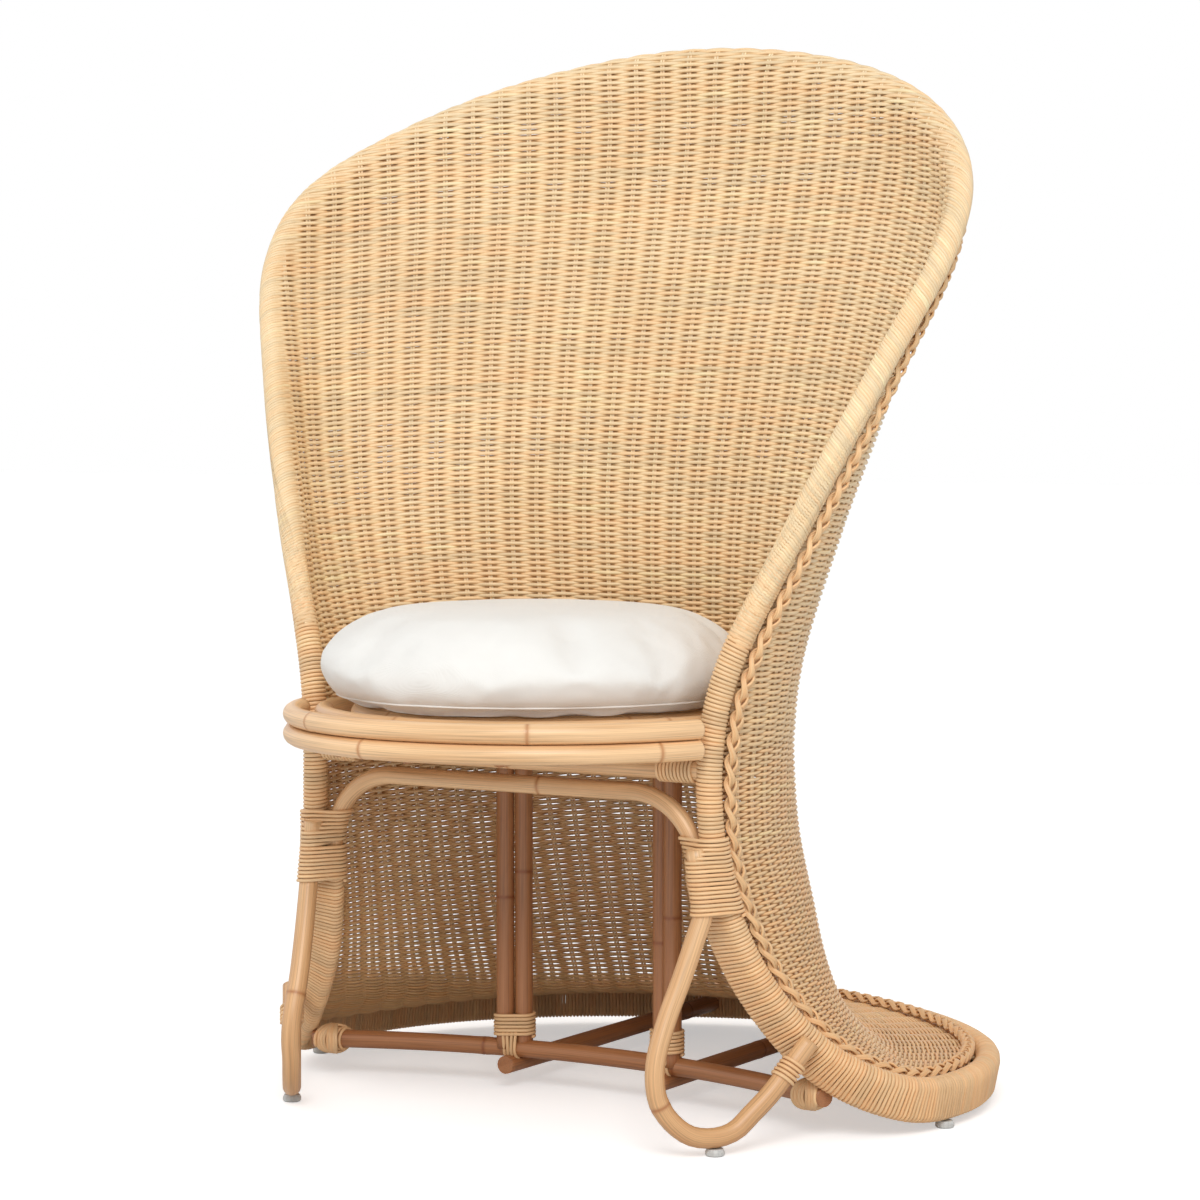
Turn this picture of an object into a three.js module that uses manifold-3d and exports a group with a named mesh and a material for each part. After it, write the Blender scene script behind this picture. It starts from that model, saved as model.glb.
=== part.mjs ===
// Rattan peacock chair: a woven sheet in a bent rim, a round seat, hairpin front legs, a tail on the floor.
// Millimetres, +Z up, the sitter faces -Y. Heights are measured from the floor.
import * as THREE from "three";
import { mergeVertices } from "three/addons/utils/BufferGeometryUtils.js";
import Module from "manifold-3d";

const wasm = await Module();
wasm.setup();

// Fits
const clearance = 0.3;

// Woven sheet and its rim
const rimDiameter = 28;
const lowerPoleDiameter = 20;
const sheetThickness = 8;
const fanHalfWidth = 421;
const fanTopHeight = 1138;
const fanTopSetback = 391;
const waistHalfWidth = 245.5;
const waistDrop = 93;
const tailHalfWidth = 399;
const tailReach = 637;
const heelHeight = 92;
const braidWidth = 15;
const braidThickness = 6;
const braidLift = 1.8;
const braidGap = 0.9;

// Seat
const seatPoleDiameter = 20.4;
const seatPoleHeight = 407;
const bowReach = 195;
const crossRailDiameter = 20;
const bearerDiameter = 24;
const bearerSpacing = 97;
const deckCaneDiameter = 20;
const deckRoom = 8;
const deckRimRoom = 2.2;
const deckRingSpacing = 38;
const deckRingCount = 5;
const deckSetback = 70;

// Legs and floor frame
const legDiameter = 20.4;
const archDiameter = 19;
const archDrop = 50;
const archBendRadius = 76;
const jointTopDrop = 89;
const jointLength = 82;
const loopSetback = 23;
const loopHalfSpread = 262;
const loopFrontReach = 66;
const loopRearReach = 105;
const loopLeanIn = 20;
const legTopDepth = 12;
const loopSplayDegrees = 36.3;
const postDiameter = 20;
const postSpacing = 97;
const pairTurnDegrees = 26;
const stretcherDiameter = 20;
const stretcherHeight = 44;
const stretcherMidSetback = 172;
const stretcherEndSetback = 84;
const stretcherOverhang = 31;
const runnerDiameter = 20;
const glideDiameter = 20;
const glideHeight = 7.6;
const glideBevelShare = 0.2;
const rearGlideSetback = 220;

// Lashings of flat cane
const caneWidth = 6.2;
const caneThickness = 1.8;
const caneGap = 0.6;
const caneSlack = 1.3;
const jointTurns = 12;
const railTurns = 6;
const postTurns = 5;
const heelTurns = 3;
const stretcherTurns = 4;
const railWrapInset = 36;
const heelWrapReach = 68;
const stretcherWrapInset = 53;

// Cushion
const cushionInset = 14;
const cushionThickness = 107;
const cushionForwardSet = 18;

// Detail of the round forms
const poleSides = 8;
const stepsPerStation = 3;
const sheetColumns = 16;
const turnSteps = 10;
const ringSides = 6;
const braidSides = 6;
const ringSegments = 26;
const glideSegments = 16;

const rattan = { color: 0xd9a766, roughness: 0.55, metalness: 0 };
const darkRattan = { color: 0x9c6a43, roughness: 0.6, metalness: 0 };
const paleCane = { color: 0xe6c391, roughness: 0.6, metalness: 0 };
const weave = { color: 0xe3bd86, roughness: 0.75, metalness: 0 };
const cotton = { color: 0xf4f1ea, roughness: 0.95, metalness: 0 };
const nylon = { color: 0xc9c9c4, roughness: 0.4, metalness: 0 };

// Heights that follow from the sizes above
const lowerPoleHeight = glideHeight + clearance + lowerPoleDiameter / 2;
const tailRimHeight = lowerPoleHeight + lowerPoleDiameter / 2 + clearance + rimDiameter / 2;
const upperBowHeight = seatPoleHeight + seatPoleDiameter + clearance;
const bearerHeight = upperBowHeight - deckCaneDiameter / 2 - clearance - bearerDiameter / 2;
const crossRailHeight = bearerHeight - bearerDiameter / 2 - clearance - crossRailDiameter / 2;
const seatTopHeight = upperBowHeight + seatPoleDiameter / 2;
const waistHeight = seatPoleHeight - waistDrop;
const archHeight = seatPoleHeight - archDrop;
const jointTop = seatPoleHeight - jointTopDrop;
const jointBottom = jointTop - jointLength;
const loopPoleHeight = glideHeight + clearance + legDiameter / 2;
const jointMiddle = (jointTop + jointBottom) / 2;
const lashPitch = caneWidth + caneGap;
const runnerHeight = tailRimHeight - sheetThickness / 2 - clearance - runnerDiameter / 2;

const vector = (x, y, z) => new THREE.Vector3(x, y, z);
const mirrored = (p) => vector(-p.x, p.y, p.z);

// Rim stations from the tip of the tail to the top of the fan, as shares of the tail or the fan.
const tailStationShares = [
  { across: 0, back: 1, up: 0 },
  { across: 0.498, back: 0.886, up: 0 },
  { across: 0.846, back: 0.695, up: 0 },
  { across: 1, back: 0.469, up: 0 },
  { across: 0.97, back: 0.264, up: 0.1 },
  { across: 0.821, back: 0.139, up: 1 },
  { across: 0.678, back: 0.053, up: 2.9 },
];
const fanStationShares = [
  { across: 0.599, back: 0.01, up: 0.181 },
  { across: 0.747, back: 0.122, up: 0.38 },
  { across: 0.899, back: 0.274, up: 0.574 },
  { across: 1, back: 0.427, up: 0.723 },
  { across: 0.96, back: 0.591, up: 0.828 },
  { across: 0.738, back: 0.826, up: 0.919 },
  { across: 0.408, back: 0.969, up: 0.978 },
  { across: 0, back: 1, up: 1 },
];
const tailRise = heelHeight - tailRimHeight;
const fanRise = fanTopHeight - waistHeight;
const rimStations = [
  ...tailStationShares.map((s) =>
    vector(s.across * tailHalfWidth, s.back * tailReach, tailRimHeight + s.up * tailRise),
  ),
  vector(waistHalfWidth, 0, waistHeight),
  ...fanStationShares.map((s) =>
    vector(s.across * fanHalfWidth, s.back * fanTopSetback, waistHeight + s.up * fanRise),
  ),
];
const lastStation = rimStations.length - 1;
const waistStation = tailStationShares.length;

// The spine of the sheet behind each station, and how far the sheet wraps round the sitter there.
const tailSpineShares = [
  { back: 1, up: 0, wrap: 14 },
  { back: 0.94, up: 0.16, wrap: 14 },
  { back: 0.852, up: 0.28, wrap: 16 },
  { back: 0.766, up: 0.42, wrap: 24 },
  { back: 0.692, up: 0.75, wrap: 47 },
  { back: 0.656, up: 1.85, wrap: 72 },
  { back: 0.628, up: 3.6, wrap: 95 },
  { back: 0.586, up: 5.6, wrap: 102 },
];
const fanSpineShares = [
  { back: 0.798, up: 0.184, wrap: 108 },
  { back: 0.765, up: 0.38, wrap: 101 },
  { back: 0.824, up: 0.574, wrap: 91 },
  { back: 0.895, up: 0.72, wrap: 77 },
  { back: 0.946, up: 0.834, wrap: 66 },
  { back: 0.974, up: 0.931, wrap: 55 },
  { back: 0.992, up: 0.98, wrap: 42 },
  { back: 1, up: 1, wrap: 32 },
];
const spineStations = [
  ...tailSpineShares.map((s) => vector(0, s.back * tailReach, tailRimHeight + s.up * tailRise)),
  ...fanSpineShares.map((s) => vector(0, s.back * fanTopSetback, waistHeight + s.up * fanRise)),
];
const wrapAngles = [...tailSpineShares, ...fanSpineShares].map((s) => THREE.MathUtils.degToRad(s.wrap));

// Uniform Catmull-Rom value at place v of a list, whose ends are continued by the given neighbours.
function splineAt(list, before, after, v, mix) {
  const i = Math.min(Math.max(Math.floor(v), 0), list.length - 2);
  const t = v - i;
  const at = (k) => (k < 0 ? before : k >= list.length ? after : list[k]);
  return mix([at(i - 1), at(i), at(i + 1), at(i + 2)], [
    (-t + 2 * t * t - t * t * t) / 2,
    (2 - 5 * t * t + 3 * t * t * t) / 2,
    (t + 4 * t * t - 3 * t * t * t) / 2,
    (-t * t + t * t * t) / 2,
  ]);
}
const mixVectors = (points, weights) =>
  points.reduce((sum, p, i) => sum.addScaledVector(p, weights[i]), vector(0, 0, 0));
const mixNumbers = (values, weights) => values.reduce((sum, a, i) => sum + a * weights[i], 0);

function rimAt(v) {
  const before = mirrored(rimStations[1]);
  const after = mirrored(rimStations[lastStation - 1]);
  const point = splineAt(rimStations, before, after, v, mixVectors);
  point.z = Math.max(point.z, tailRimHeight);
  return point;
}

function spineAt(v, stations) {
  const before = stations[0].clone().multiplyScalar(2).sub(stations[1]);
  const after = stations[lastStation].clone().multiplyScalar(2).sub(stations[lastStation - 1]);
  return splineAt(stations, before, after, v, mixVectors);
}

function wrapAt(v) {
  return splineAt(wrapAngles, wrapAngles[0], wrapAngles[lastStation], v, mixNumbers);
}

// A point of the sheet: u runs from the spine (0) to the edge (1), round part of an ellipse.
function onSection(edge, spine, wrap, u) {
  const across = (edge.x * Math.sin(wrap * u)) / Math.sin(wrap);
  const forward = (1 - Math.cos(wrap * u)) / (1 - Math.cos(wrap));
  return vector(
    across,
    spine.y + (edge.y - spine.y) * forward,
    spine.z + (edge.z - spine.z) * forward,
  );
}

const stationStepShare = 0.01;
const edgeProbeShare = 0.93;
const endSpanShare = 1.6;

// The rim's frame at v: its point, its tangent, the way into the sheet and the outward side of the sheet.
function rimFrame(v) {
  const point = rimAt(v);
  const ahead = rimAt(Math.min(v + stationStepShare, lastStation));
  const tangent = ahead.sub(rimAt(Math.max(v - stationStepShare, 0))).normalize();
  const held = Math.min(Math.max(v, endSpanShare), lastStation - endSpanShare);
  const probe = (edgeProbeShare * point.x) / rimAt(held).x;
  const inside = onSection(rimAt(held), spineAt(held, spineStations), wrapAt(held), probe);
  const into = inside.sub(point);
  into.addScaledVector(tangent, -into.dot(tangent)).normalize();
  const out = into.clone().cross(tangent);
  return { point, tangent, into, out };
}

// The sheet's own edge lies inside the rim pole.
const edgeInset = rimDiameter / 2 + clearance;
function sheetEdgeAt(v) {
  const frame = rimFrame(v);
  return frame.point.addScaledVector(frame.into, edgeInset);
}
const sheetSpineStations = spineStations.map((p, i) =>
  i === 0 || i === lastStation ? sheetEdgeAt(i) : p,
);

function sheetPoint(u, v) {
  const p = onSection(sheetEdgeAt(v), spineAt(v, sheetSpineStations), wrapAt(v), Math.abs(u));
  return u < 0 ? mirrored(p) : p;
}

const normalStepShare = 0.02;
function sheetNormal(u, v) {
  const low = Math.max(v - normalStepShare, normalStepShare);
  const high = Math.min(v + normalStepShare, lastStation - normalStepShare);
  const side = Math.min(Math.max(u, -1 + normalStepShare), 1 - normalStepShare);
  const middle = (low + high) / 2;
  const along = sheetPoint(side, high).sub(sheetPoint(side, low));
  const across = sheetPoint(side + normalStepShare, middle).sub(sheetPoint(side - normalStepShare, middle));
  return along.cross(across).normalize();
}

// Closed mesh helpers
const mergeShare = 0.01;
function signedVolume(positions, index) {
  const corner = (i) => vector().fromArray(positions, 3 * index[i]);
  let volume = 0;
  for (let i = 0; i < index.length; i += 3) {
    volume += corner(i).dot(corner(i + 1).cross(corner(i + 2)));
  }
  return volume;
}

function closedGeometry(positions, index) {
  const loose = new THREE.BufferGeometry();
  loose.setAttribute("position", new THREE.Float32BufferAttribute(positions, 3));
  loose.setIndex(index);
  const merged = mergeVertices(loose, clearance * mergeShare);
  const kept = [];
  const corners = merged.index.array;
  for (let i = 0; i < corners.length; i += 3) {
    const [a, b, c] = [corners[i], corners[i + 1], corners[i + 2]];
    if (a !== b && b !== c && c !== a) kept.push(a, b, c);
  }
  const inward = signedVolume(merged.attributes.position.array, kept) < 0;
  merged.setIndex(inward ? kept.reverse() : kept);
  merged.computeVertexNormals();
  return merged;
}

// Sweeps a convex section through places, each with a point and the two axes of the section.
function sweep(places, section, closed = false) {
  const positions = [];
  const index = [];
  const sides = section.length;
  places.forEach(({ point, across, up }) => {
    section.forEach(([a, b]) => {
      positions.push(...point.clone().addScaledVector(across, a).addScaledVector(up, b).toArray());
    });
  });
  const links = closed ? places.length : places.length - 1;
  for (let i = 0; i < links; i += 1) {
    const next = (i + 1) % places.length;
    for (let j = 0; j < sides; j += 1) {
      const k = (j + 1) % sides;
      index.push(i * sides + j, i * sides + k, next * sides + k);
      index.push(i * sides + j, next * sides + k, next * sides + j);
    }
  }
  if (!closed) {
    const last = (places.length - 1) * sides;
    for (let j = 1; j < sides - 1; j += 1) {
      index.push(0, j + 1, j);
      index.push(last, last + j, last + j + 1);
    }
  }
  return closedGeometry(positions, index);
}

function roundSection(diameter, sides = poleSides) {
  return Array.from({ length: sides }, (_, i) => {
    const angle = (2 * Math.PI * i) / sides;
    return [(diameter / 2) * Math.cos(angle), (diameter / 2) * Math.sin(angle)];
  });
}

function ovalSection(width, thickness, sides = poleSides) {
  return roundSection(1, sides).map(([a, b]) => [a * width, b * thickness]);
}

function boxSection(width, thickness) {
  return [
    [-width / 2, -thickness / 2],
    [width / 2, -thickness / 2],
    [width / 2, thickness / 2],
    [-width / 2, thickness / 2],
  ];
}

// Places along points, with axes carried from one to the next without twist.
function placesAlong(points, firstUp) {
  let up = firstUp.clone();
  return points.map((point, i) => {
    const before = points[Math.max(i - 1, 0)];
    const after = points[Math.min(i + 1, points.length - 1)];
    const tangent = after.clone().sub(before).normalize();
    up = up.clone().addScaledVector(tangent, -up.dot(tangent)).normalize();
    return { point, across: tangent.clone().cross(up), up };
  });
}

function pole(points, diameter, firstUp = vector(0, 0, 1)) {
  return sweep(placesAlong(points, firstUp), roundSection(diameter));
}

function straightPole(from, to, diameter) {
  const steep = Math.abs(to.z - from.z) > from.clone().sub(to).length() / 2;
  return pole([from, to], diameter, steep ? vector(0, 1, 0) : vector(0, 0, 1));
}

function smoothPoints(points, steps) {
  return new THREE.CatmullRomCurve3(points, false, "centripetal").getSpacedPoints(steps);
}

// Cuts a piece by its neighbours and keeps its largest body.
function solidOf(geometry) {
  const bare = new THREE.BufferGeometry();
  bare.setAttribute("position", geometry.getAttribute("position"));
  bare.setIndex(geometry.index);
  const merged = mergeVertices(bare, clearance * mergeShare);
  return new wasm.Manifold(
    new wasm.Mesh({
      numProp: 3,
      vertProperties: merged.attributes.position.array,
      triVerts: new Uint32Array(merged.index.array),
    }),
  );
}

function carve(geometry, cutters) {
  const cut = cutters.reduce((solid, cutter) => solid.subtract(solidOf(cutter)), solidOf(geometry));
  const largest = cut.decompose().reduce((a, b) => (b.volume() > a.volume() ? b : a));
  const mesh = largest.getMesh();
  const carved = new THREE.BufferGeometry();
  carved.setAttribute("position", new THREE.BufferAttribute(mesh.vertProperties, 3));
  carved.setIndex(new THREE.BufferAttribute(mesh.triVerts, 1));
  carved.computeVertexNormals();
  return carved;
}

// Where the rim passes a height between two stations.
function rimPlaceAtHeight(height, from, to) {
  let low = from;
  let high = to;
  while (high - low > stationStepShare / 10) {
    const middle = (low + high) / 2;
    if (rimAt(middle).z < height) low = middle;
    else high = middle;
  }
  return (low + high) / 2;
}
const heelStation = waistStation - 2;
const seatPlace = rimPlaceAtHeight(seatPoleHeight, waistStation, waistStation + 2);
const rimPlaceBehindJoint = (height) => rimPlaceAtHeight(height, heelStation, waistStation + 1);
const jointPlace = rimPlaceBehindJoint(jointMiddle);
const seatRim = rimAt(seatPlace);
const railRim = rimAt(rimPlaceAtHeight(crossRailHeight, waistStation, waistStation + 2));

const leastStepShare = 0.3;

// Places from one to another that share one even grid, so that neighbours keep parallel facets.
function gridBetween(from, to) {
  const first = Math.floor(from * stepsPerStation) + 1;
  const last = Math.ceil(to * stepsPerStation) - 1;
  const inner = [];
  for (let i = first; i <= last; i += 1) inner.push(i / stepsPerStation);
  const least = leastStepShare / stepsPerStation;
  return [from, ...inner.filter((v) => v - from > least && to - v > least), to];
}

// A run over both sides: up the right side and down the mirrored left, or the other way.
function bothSides(right) {
  return [...right, ...right.slice(0, -1).reverse().map(mirrored)];
}

function rimOverTop(from, diameter) {
  return pole(bothSides(gridBetween(from, lastStation).map(rimAt)), diameter, vector(0, 1, 0));
}

function rimRoundTail(from, diameter) {
  return pole(bothSides(gridBetween(0, from).reverse().map(rimAt)), diameter, vector(0, 1, 0));
}

// The lower pole lies under the rim at the tail and inside it where the rim climbs to the joint.
const lowerPoleSpacing = (rimDiameter + lowerPoleDiameter) / 2 + clearance;
function lowerPoleAt(v) {
  const { point, tangent } = rimFrame(v);
  const climb = Math.min(Math.max((point.z - tailRimHeight) / (jointBottom - tailRimHeight), 0), 1);
  const lean = Math.sin((climb * Math.PI) / 2);
  const side = vector(-lean, 0, lean - 1);
  side.addScaledVector(tangent, -side.dot(tangent)).normalize();
  return point.addScaledVector(side, lowerPoleSpacing);
}

function lowerPole(diameter) {
  return pole(bothSides(gridBetween(0, jointPlace).reverse().map(lowerPoleAt)), diameter, vector(0, 1, 0));
}

function braidBorder() {
  const section = ovalSection(braidWidth, braidThickness, braidSides);
  const alongInto = rimDiameter / 2 + caneThickness + braidGap + braidWidth / 2;
  const alongOut = sheetThickness / 2 + braidThickness / 2 + clearance + braidLift;
  const places = gridBetween(0, lastStation).map((v) => {
    const { point, into, out } = rimFrame(v);
    return {
      point: point.addScaledVector(into, alongInto).addScaledVector(out, alongOut),
      across: into,
      up: out,
    };
  });
  const left = places.slice(1, -1).reverse().map((p) => ({
    point: mirrored(p.point),
    across: mirrored(p.across),
    up: mirrored(p.up),
  }));
  return sweep([...places, ...left], section, true);
}

// Woven sheet between two places of the rim, as a shell of even thickness.
function sheetShell(from, to, thickness, raised = 0) {
  const places = gridBetween(from, to);
  const rows = places.length - 1;
  const width = sheetColumns + 1;
  const faces = [-1, 1].map((side) => {
    const grid = [];
    for (let i = 0; i <= rows; i += 1) {
      const v = places[i];
      const lift = i === 0 ? raised : 0;
      for (let j = 0; j < width; j += 1) {
        const u = (2 * j) / sheetColumns - 1;
        const p = sheetPoint(u, v).addScaledVector(sheetNormal(u, v), (side * thickness) / 2);
        grid.push(p.add(vector(0, 0, lift)));
      }
    }
    return grid;
  });
  const positions = faces.flat().flatMap((p) => p.toArray());
  const offset = faces[0].length;
  const index = [];
  const quad = (a, b, c, d) => index.push(a, b, c, a, c, d);
  for (let i = 0; i < rows; i += 1) {
    for (let j = 0; j < sheetColumns; j += 1) {
      const a = i * width + j;
      quad(a, a + 1, a + width + 1, a + width);
      quad(offset + a, offset + a + width, offset + a + width + 1, offset + a + 1);
    }
    const left = i * width;
    const right = left + sheetColumns;
    quad(left, left + width, offset + left + width, offset + left);
    quad(right, offset + right, offset + right + width, right + width);
  }
  const top = rows * width;
  for (let j = 0; j < sheetColumns; j += 1) {
    quad(j, offset + j, offset + j + 1, j + 1);
    quad(top + j, top + j + 1, offset + top + j + 1, offset + top + j);
  }
  return closedGeometry(positions, index);
}

// Seat
function bowPoints(height, steps) {
  const endX = seatRim.x;
  const endY = seatRim.y - (rimDiameter + seatPoleDiameter) / 2 - clearance;
  const rise = bowReach + endY;
  const radius = (endX * endX + rise * rise) / (2 * rise);
  const centreY = radius - bowReach;
  const reach = Math.atan2(endX, centreY - endY);
  return Array.from({ length: steps + 1 }, (_, i) => {
    const angle = reach * ((2 * i) / steps - 1);
    return vector(radius * Math.sin(angle), centreY - radius * Math.cos(angle), height);
  });
}
const bowSteps = 20;
const hoopSteps = 20;

// Where a line of points passes a place across the chair.
function setbackAt(points, x) {
  const i = points.findIndex((p, k) => k > 0 && (p.x - x) * (points[k - 1].x - x) <= 0);
  const [before, after] = [points[i - 1], points[i]];
  return before.y + ((after.y - before.y) * (x - before.x)) / (after.x - before.x);
}
const deckCentreY = seatRim.y + deckSetback;

// The deck's outer cane keeps its room to the sheet, the bow and the rim, and the cushion is cut to the deck.
function deckRadiusWithin() {
  const place = rimPlaceAtHeight(upperBowHeight, waistStation, waistStation + 2);
  const reach = (p) => Math.hypot(p.x, p.y - deckCentreY);
  const sheet = Array.from({ length: hoopSteps + 1 }, (_, i) => sheetPoint((2 * i) / hoopSteps - 1, place));
  const toSheet = Math.min(...sheet.map(reach)) - sheetThickness / 2;
  const toBow = Math.min(...bowPoints(upperBowHeight, bowSteps).map(reach)) - seatPoleDiameter / 2;
  const toRim = reach(rimAt(place)) - rimDiameter / 2;
  return Math.min(toSheet - deckRoom, toBow - deckRoom, toRim - deckRimRoom) - deckCaneDiameter / 2;
}
const deckRadius = deckRadiusWithin();
const cushionDiameter = 2 * (deckRadius - cushionInset) + deckCaneDiameter;

// The rear hoop lies against the inner side of the sheet, the one whose normal points to the sitter.
const innerSide = sheetNormal(0, seatPlace).y < 0 ? 1 : -1;
function hoopPoints() {
  const inset = (sheetThickness / 2 + clearance + seatPoleDiameter / 2) * innerSide;
  return Array.from({ length: hoopSteps + 1 }, (_, i) => {
    const u = (2 * i) / hoopSteps - 1;
    const p = sheetPoint(u, seatPlace).addScaledVector(sheetNormal(u, seatPlace), inset);
    return vector(p.x, p.y, seatPoleHeight);
  });
}
const rearHoop = (diameter) => pole(hoopPoints(), diameter);

// Legs: the arch runs on from the lower pole inside the rims, and the hairpins stand in front of both.
const archBendSteps = 7;
function archPoints(endDrop = 0) {
  const end = lowerPoleAt(jointPlace);
  const right = [vector(end.x, end.y, jointMiddle + clearance / 2 - endDrop)];
  for (let i = 0; i <= archBendSteps; i += 1) {
    const angle = (i / archBendSteps) * (Math.PI / 2);
    const across = end.x - archBendRadius * (1 - Math.cos(angle));
    right.push(vector(across, end.y, archHeight - archBendRadius * (1 - Math.sin(angle))));
  }
  return [...right, ...right.slice().reverse().map(mirrored)];
}

// Shares of the hairpin's reach, of its lean to the middle and of its height, from the top end to the foot.
const loopFrontShares = [
  { along: -0.17, lean: -1.2, up: 1 },
  { along: -0.11, lean: -1.14, up: 0.9 },
  { along: -0.07, lean: -0.97, up: 0.78 },
  { along: -0.2, lean: -0.86, up: 0.7 },
  { along: -0.46, lean: -0.64, up: 0.56 },
  { along: -0.75, lean: -0.37, up: 0.42 },
  { along: -0.97, lean: -0.03, up: 0.29 },
  { along: -1, lean: 0.05, up: 0.21 },
  { along: -0.93, lean: 0, up: 0.14 },
  { along: -0.73, lean: 0, up: 0.07 },
  { along: -0.4, lean: 0, up: 0.014 },
  { along: 0, lean: 0, up: 0 },
];
const loopRearShares = [
  { along: 0.21, lean: 0, up: 0.019 },
  { along: 0.37, lean: 0, up: 0.068 },
  { along: 0.58, lean: 0, up: 0.137 },
  { along: 0.76, lean: 0, up: 0.211 },
  { along: 1, lean: 0, up: 0.312 },
];
const loopSteps = 26;
function loopPoints(sign) {
  const splay = THREE.MathUtils.degToRad(loopSplayDegrees);
  const rise = jointTop - legTopDepth - loopPoleHeight;
  const place = (along, { lean, up }) =>
    vector(
      sign * (loopHalfSpread + along * Math.sin(splay) + lean * loopLeanIn * Math.cos(splay)),
      along * Math.cos(splay) - lean * loopLeanIn * Math.sin(splay) - loopSetback,
      loopPoleHeight + up * rise,
    );
  const points = [
    ...loopFrontShares.map((s) => place(s.along * loopFrontReach, s)),
    ...loopRearShares.map((s) => place(s.along * loopRearReach, s)),
  ];
  return smoothPoints(points, loopSteps);
}

// Floor frame
const stretcherSteps = 20;
const stretcherHalfWidth = rimAt(rimPlaceAtSetback(stretcherEndSetback)).x + stretcherOverhang;
function stretcherY(x) {
  const share = x / stretcherHalfWidth;
  return stretcherMidSetback + (stretcherEndSetback - stretcherMidSetback) * share * share;
}
function stretcherPoints() {
  return Array.from({ length: stretcherSteps + 1 }, (_, i) => {
    const x = stretcherHalfWidth * ((2 * i) / stretcherSteps - 1);
    return vector(x, stretcherY(x), stretcherHeight);
  });
}
const rearRailY = stretcherY(postSpacing);
const pairTurn = THREE.MathUtils.degToRad(pairTurnDegrees);

// The centre of one post of a pair, which stands askew to the stretcher.
function postPlace(sign, shift) {
  const spacing = postDiameter + 2 * clearance;
  return {
    x: sign * (postSpacing + shift * spacing * Math.cos(pairTurn)),
    y: rearRailY - shift * spacing * Math.sin(pairTurn),
  };
}

function glide() {
  const r = glideDiameter / 2;
  const edge = glideHeight * glideBevelShare;
  const profile = [
    new THREE.Vector2(0, 0),
    new THREE.Vector2(r - edge, 0),
    new THREE.Vector2(r, edge),
    new THREE.Vector2(r, glideHeight - 2 * edge),
    new THREE.Vector2(r - edge, glideHeight),
    new THREE.Vector2(0, glideHeight),
  ];
  return turned(profile, glideSegments);
}

function turned(profile, segments) {
  const geometry = new THREE.LatheGeometry(profile, segments);
  geometry.deleteAttribute("normal");
  geometry.deleteAttribute("uv");
  geometry.rotateX(Math.PI / 2);
  return closedGeometry(Array.from(geometry.attributes.position.array), Array.from(geometry.index.array));
}

// The outward direction at an angle of a lashing, and the pole that reaches furthest that way.
function outwardAt({ first, second }, angle) {
  return first.clone().multiplyScalar(Math.cos(angle)).addScaledVector(second, Math.sin(angle));
}
function outermostAt(crossing, angle) {
  const out = outwardAt(crossing, angle);
  const reaches = crossing.poles.map(({ centre, radius }) => centre.dot(out) + radius);
  return reaches.indexOf(Math.max(...reaches));
}

// The stops of one turn round a set of poles: arcs round each pole, joined by straight runs.
const fullTurn = 2 * Math.PI;
const searchSteps = 120;
function turnStops(crossing) {
  const stops = [];
  let start = 0;
  let pole = outermostAt(crossing, 0);
  const addArc = (end) => {
    const count = Math.max(1, Math.round(((end - start) / fullTurn) * turnSteps));
    for (let k = 0; k <= count; k += 1) stops.push({ pole, angle: start + ((end - start) * k) / count });
  };
  for (let i = 1; i < searchSteps; i += 1) {
    const angle = (fullTurn * i) / searchSteps;
    const next = outermostAt(crossing, angle);
    if (next !== pole) {
      addArc(angle - fullTurn / searchSteps / 2);
      start = angle - fullTurn / searchSteps / 2;
      pole = next;
    }
  }
  addArc(fullTurn);
  return stops;
}

// A flat cane wound round the poles that crossingAt gives for each place along the lashing's axis.
const windingGaps = {};
const leastTurnsApart = 0.5;
function winding(name, crossingAt, turns) {
  const places = [];
  for (let turn = 0; turn < turns; turn += 1) {
    const stops = turnStops(crossingAt((turn + 0.5 - turns / 2) * lashPitch));
    const kept = turn < turns - 1 ? stops.slice(0, -1) : stops;
    kept.forEach(({ pole, angle }) => {
      const wound = turn + angle / fullTurn;
      const crossing = crossingAt((wound - turns / 2) * lashPitch);
      const { centre, radius } = crossing.poles[pole];
      const out = outwardAt(crossing, angle);
      const distance = radius + caneSlack + caneThickness / 2;
      places.push({ point: centre.clone().addScaledVector(out, distance), out, wound });
    });
  }
  const strip = stripAlong(places);
  windingGaps[name] = leastGap(strip);
  return sweep(strip, boxSection(caneWidth, caneThickness));
}

// The least distance between the edges of a strip at places at least half a turn apart.
function leastGap(strip) {
  const edges = strip.map(({ point, across, wound }) => ({
    wound,
    points: [-1, 1].map((side) => point.clone().addScaledVector(across, (side * caneWidth) / 2)),
  }));
  let least = Infinity;
  edges.forEach((a) => {
    edges.forEach((b) => {
      if (b.wound - a.wound < leastTurnsApart) return;
      a.points.forEach((p) => {
        b.points.forEach((q) => {
          least = Math.min(least, p.distanceTo(q));
        });
      });
    });
  });
  return least;
}

// Where a line of points passes a height, and the radius of a cane wound round the leaning pole there.
function crossing(points, height, diameter) {
  const i = points.findIndex((p, k) => k > 0 && (p.z - height) * (points[k - 1].z - height) <= 0);
  const [a, b] = [points[i - 1], points[i]];
  const run = b.clone().sub(a);
  const centre = a.clone().addScaledVector(run, (height - a.z) / run.z);
  const sideways = Math.hypot(run.x, run.y);
  return { centre, radius: (run.length() * diameter + sideways * caneWidth) / 2 / Math.abs(run.z) };
}

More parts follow.
